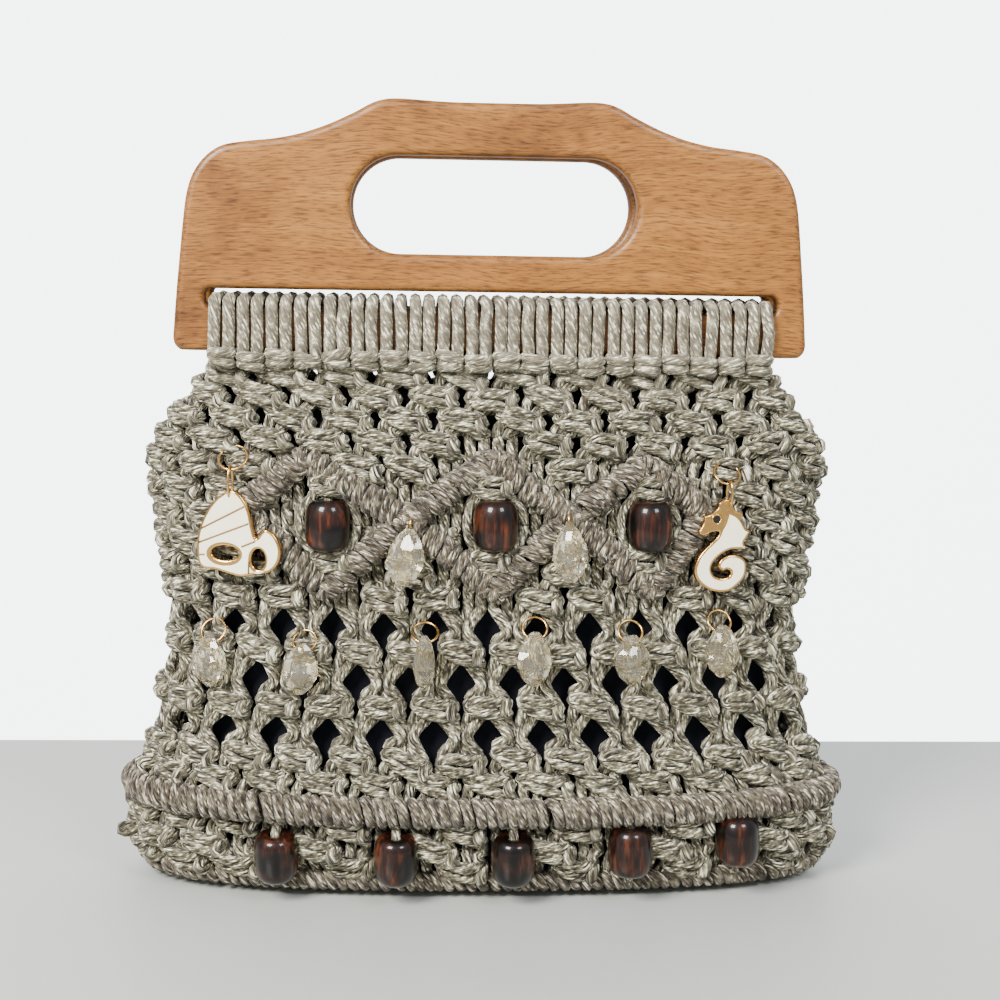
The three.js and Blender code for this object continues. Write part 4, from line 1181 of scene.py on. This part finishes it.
turn = np.linspace(0, 2 * math.pi, 29)
eye_ring = EYE_SPOT + EYE_ROUND * np.column_stack([np.cos(turn), np.sin(turn)])
seahorse_face = -seahorse[-1] - CHARM_THICK / 2
charm_wires(seahorse, "seahorse_eye_rim", [eye_ring], EYE_WIRE, seahorse_face, gilt)
# A dark disc set in the seahorse's eye hole is painted shade for the inside of the hole.
eye_hole_shade, _, _ = material("eye_hole_painted_shade", Base_Color=colour(0.06, 0.05, 0.05), Roughness=0.2)
charm_layer(seahorse, "seahorse_eye", [oval(*EYE_SPOT, EYE_ROUND, EYE_ROUND)], 0.5, 0.1, 0,
            seahorse_face + 0.4, eye_hole_shade)

# Floor, light and camera
# A plain pale floor under soft studio light, seen from the photograph's own angle.

FLOOR_BACK = 178.0
FLOOR_SIDE = 1600.0
FLOOR_FRONT = -1400.0
WALL_BACK = 1700.0
WALL_SIDE = 2600.0
WALL_TOP = 2400.0
WALL_LOW = -1200.0


def stage_sheet(name, corners, **settings):
    """A flat sheet of the stage through four corners in mm, with its paint."""
    sheet = new_piece(name, in_frame(corners), [[0, 1, 2, 3]], smooth=False)
    sheet.data.materials.append(material(name + "_paint", **settings)[0])
    return sheet


stage_sheet("floor", [(-FLOOR_SIDE, FLOOR_FRONT, 0), (FLOOR_SIDE, FLOOR_FRONT, 0),
                      (FLOOR_SIDE, FLOOR_BACK, 0), (-FLOOR_SIDE, FLOOR_BACK, 0)],
            Base_Color=colour(0.67, 0.68, 0.66), Roughness=0.3)
backdrop = stage_sheet(
    "backdrop", [(-WALL_SIDE, WALL_BACK, WALL_LOW), (WALL_SIDE, WALL_BACK, WALL_LOW),
                 (WALL_SIDE, WALL_BACK, WALL_TOP), (-WALL_SIDE, WALL_BACK, WALL_TOP)],
    Base_Color=colour(0.95, 0.96, 0.97), Roughness=1.0,
    Emission_Color=colour(0.955, 0.97, 0.985), Emission_Strength=5.0)
backdrop.visible_glossy = False

world = bpy.data.worlds.new("studio")
bpy.context.scene.world = world
world.use_nodes = True
world.node_tree.nodes["Background"].inputs["Color"].default_value = colour(0.96, 0.97, 0.98)
world.node_tree.nodes["Background"].inputs["Strength"].default_value = 0.9


def looking(side, up, back, spot):
    """The matrix whose columns are the three directions and the place."""
    return Matrix([*np.column_stack([side, up, back, spot]).tolist(), [0, 0, 0, 1]])


def soft_light(name, place, aim, size, power, tint):
    """A square area light at place that faces aim, both in mm."""
    lamp = bpy.data.lights.new(name, "AREA")
    lamp.size = size
    lamp.energy = power
    lamp.color = tint
    spot, target = in_frame([place, aim])
    back = spot - target
    back /= np.linalg.norm(back)
    side = np.cross((0, 0, 1), back)
    side /= np.linalg.norm(side)
    added(name, lamp).matrix_world = looking(side, np.cross(back, side), back, spot)


soft_light("key_light", (-700, -900, 1000), (0, 0, 150), 0.5, 52.0, (1.0, 0.98, 0.95))
soft_light("fill_light", (560, -800, 900), (0, 0, 150), 0.35, 11.0, (0.95, 0.98, 1.0))

CAMERA_SPOT = np.array([-29.6, -658.5, 258.9])
CAMERA_AHEAD = np.array([0.0517, 0.9870, -0.1521])
CAMERA_ROLL = math.radians(1.0)
camera_data = bpy.data.cameras.new("camera")
camera_data.lens = 58.5
camera_data.sensor_width = 36.0
camera = added("camera", camera_data)
ahead = CAMERA_AHEAD / np.linalg.norm(CAMERA_AHEAD)
level_right = np.cross(ahead, (0, 0, 1))
level_right /= np.linalg.norm(level_right)
level_up = np.cross(level_right, ahead)
right = level_right * math.cos(CAMERA_ROLL) + level_up * math.sin(CAMERA_ROLL)
up = -level_right * math.sin(CAMERA_ROLL) + level_up * math.cos(CAMERA_ROLL)
camera.matrix_world = looking(right, up, -ahead, in_frame(CAMERA_SPOT))
bpy.context.scene.camera = camera
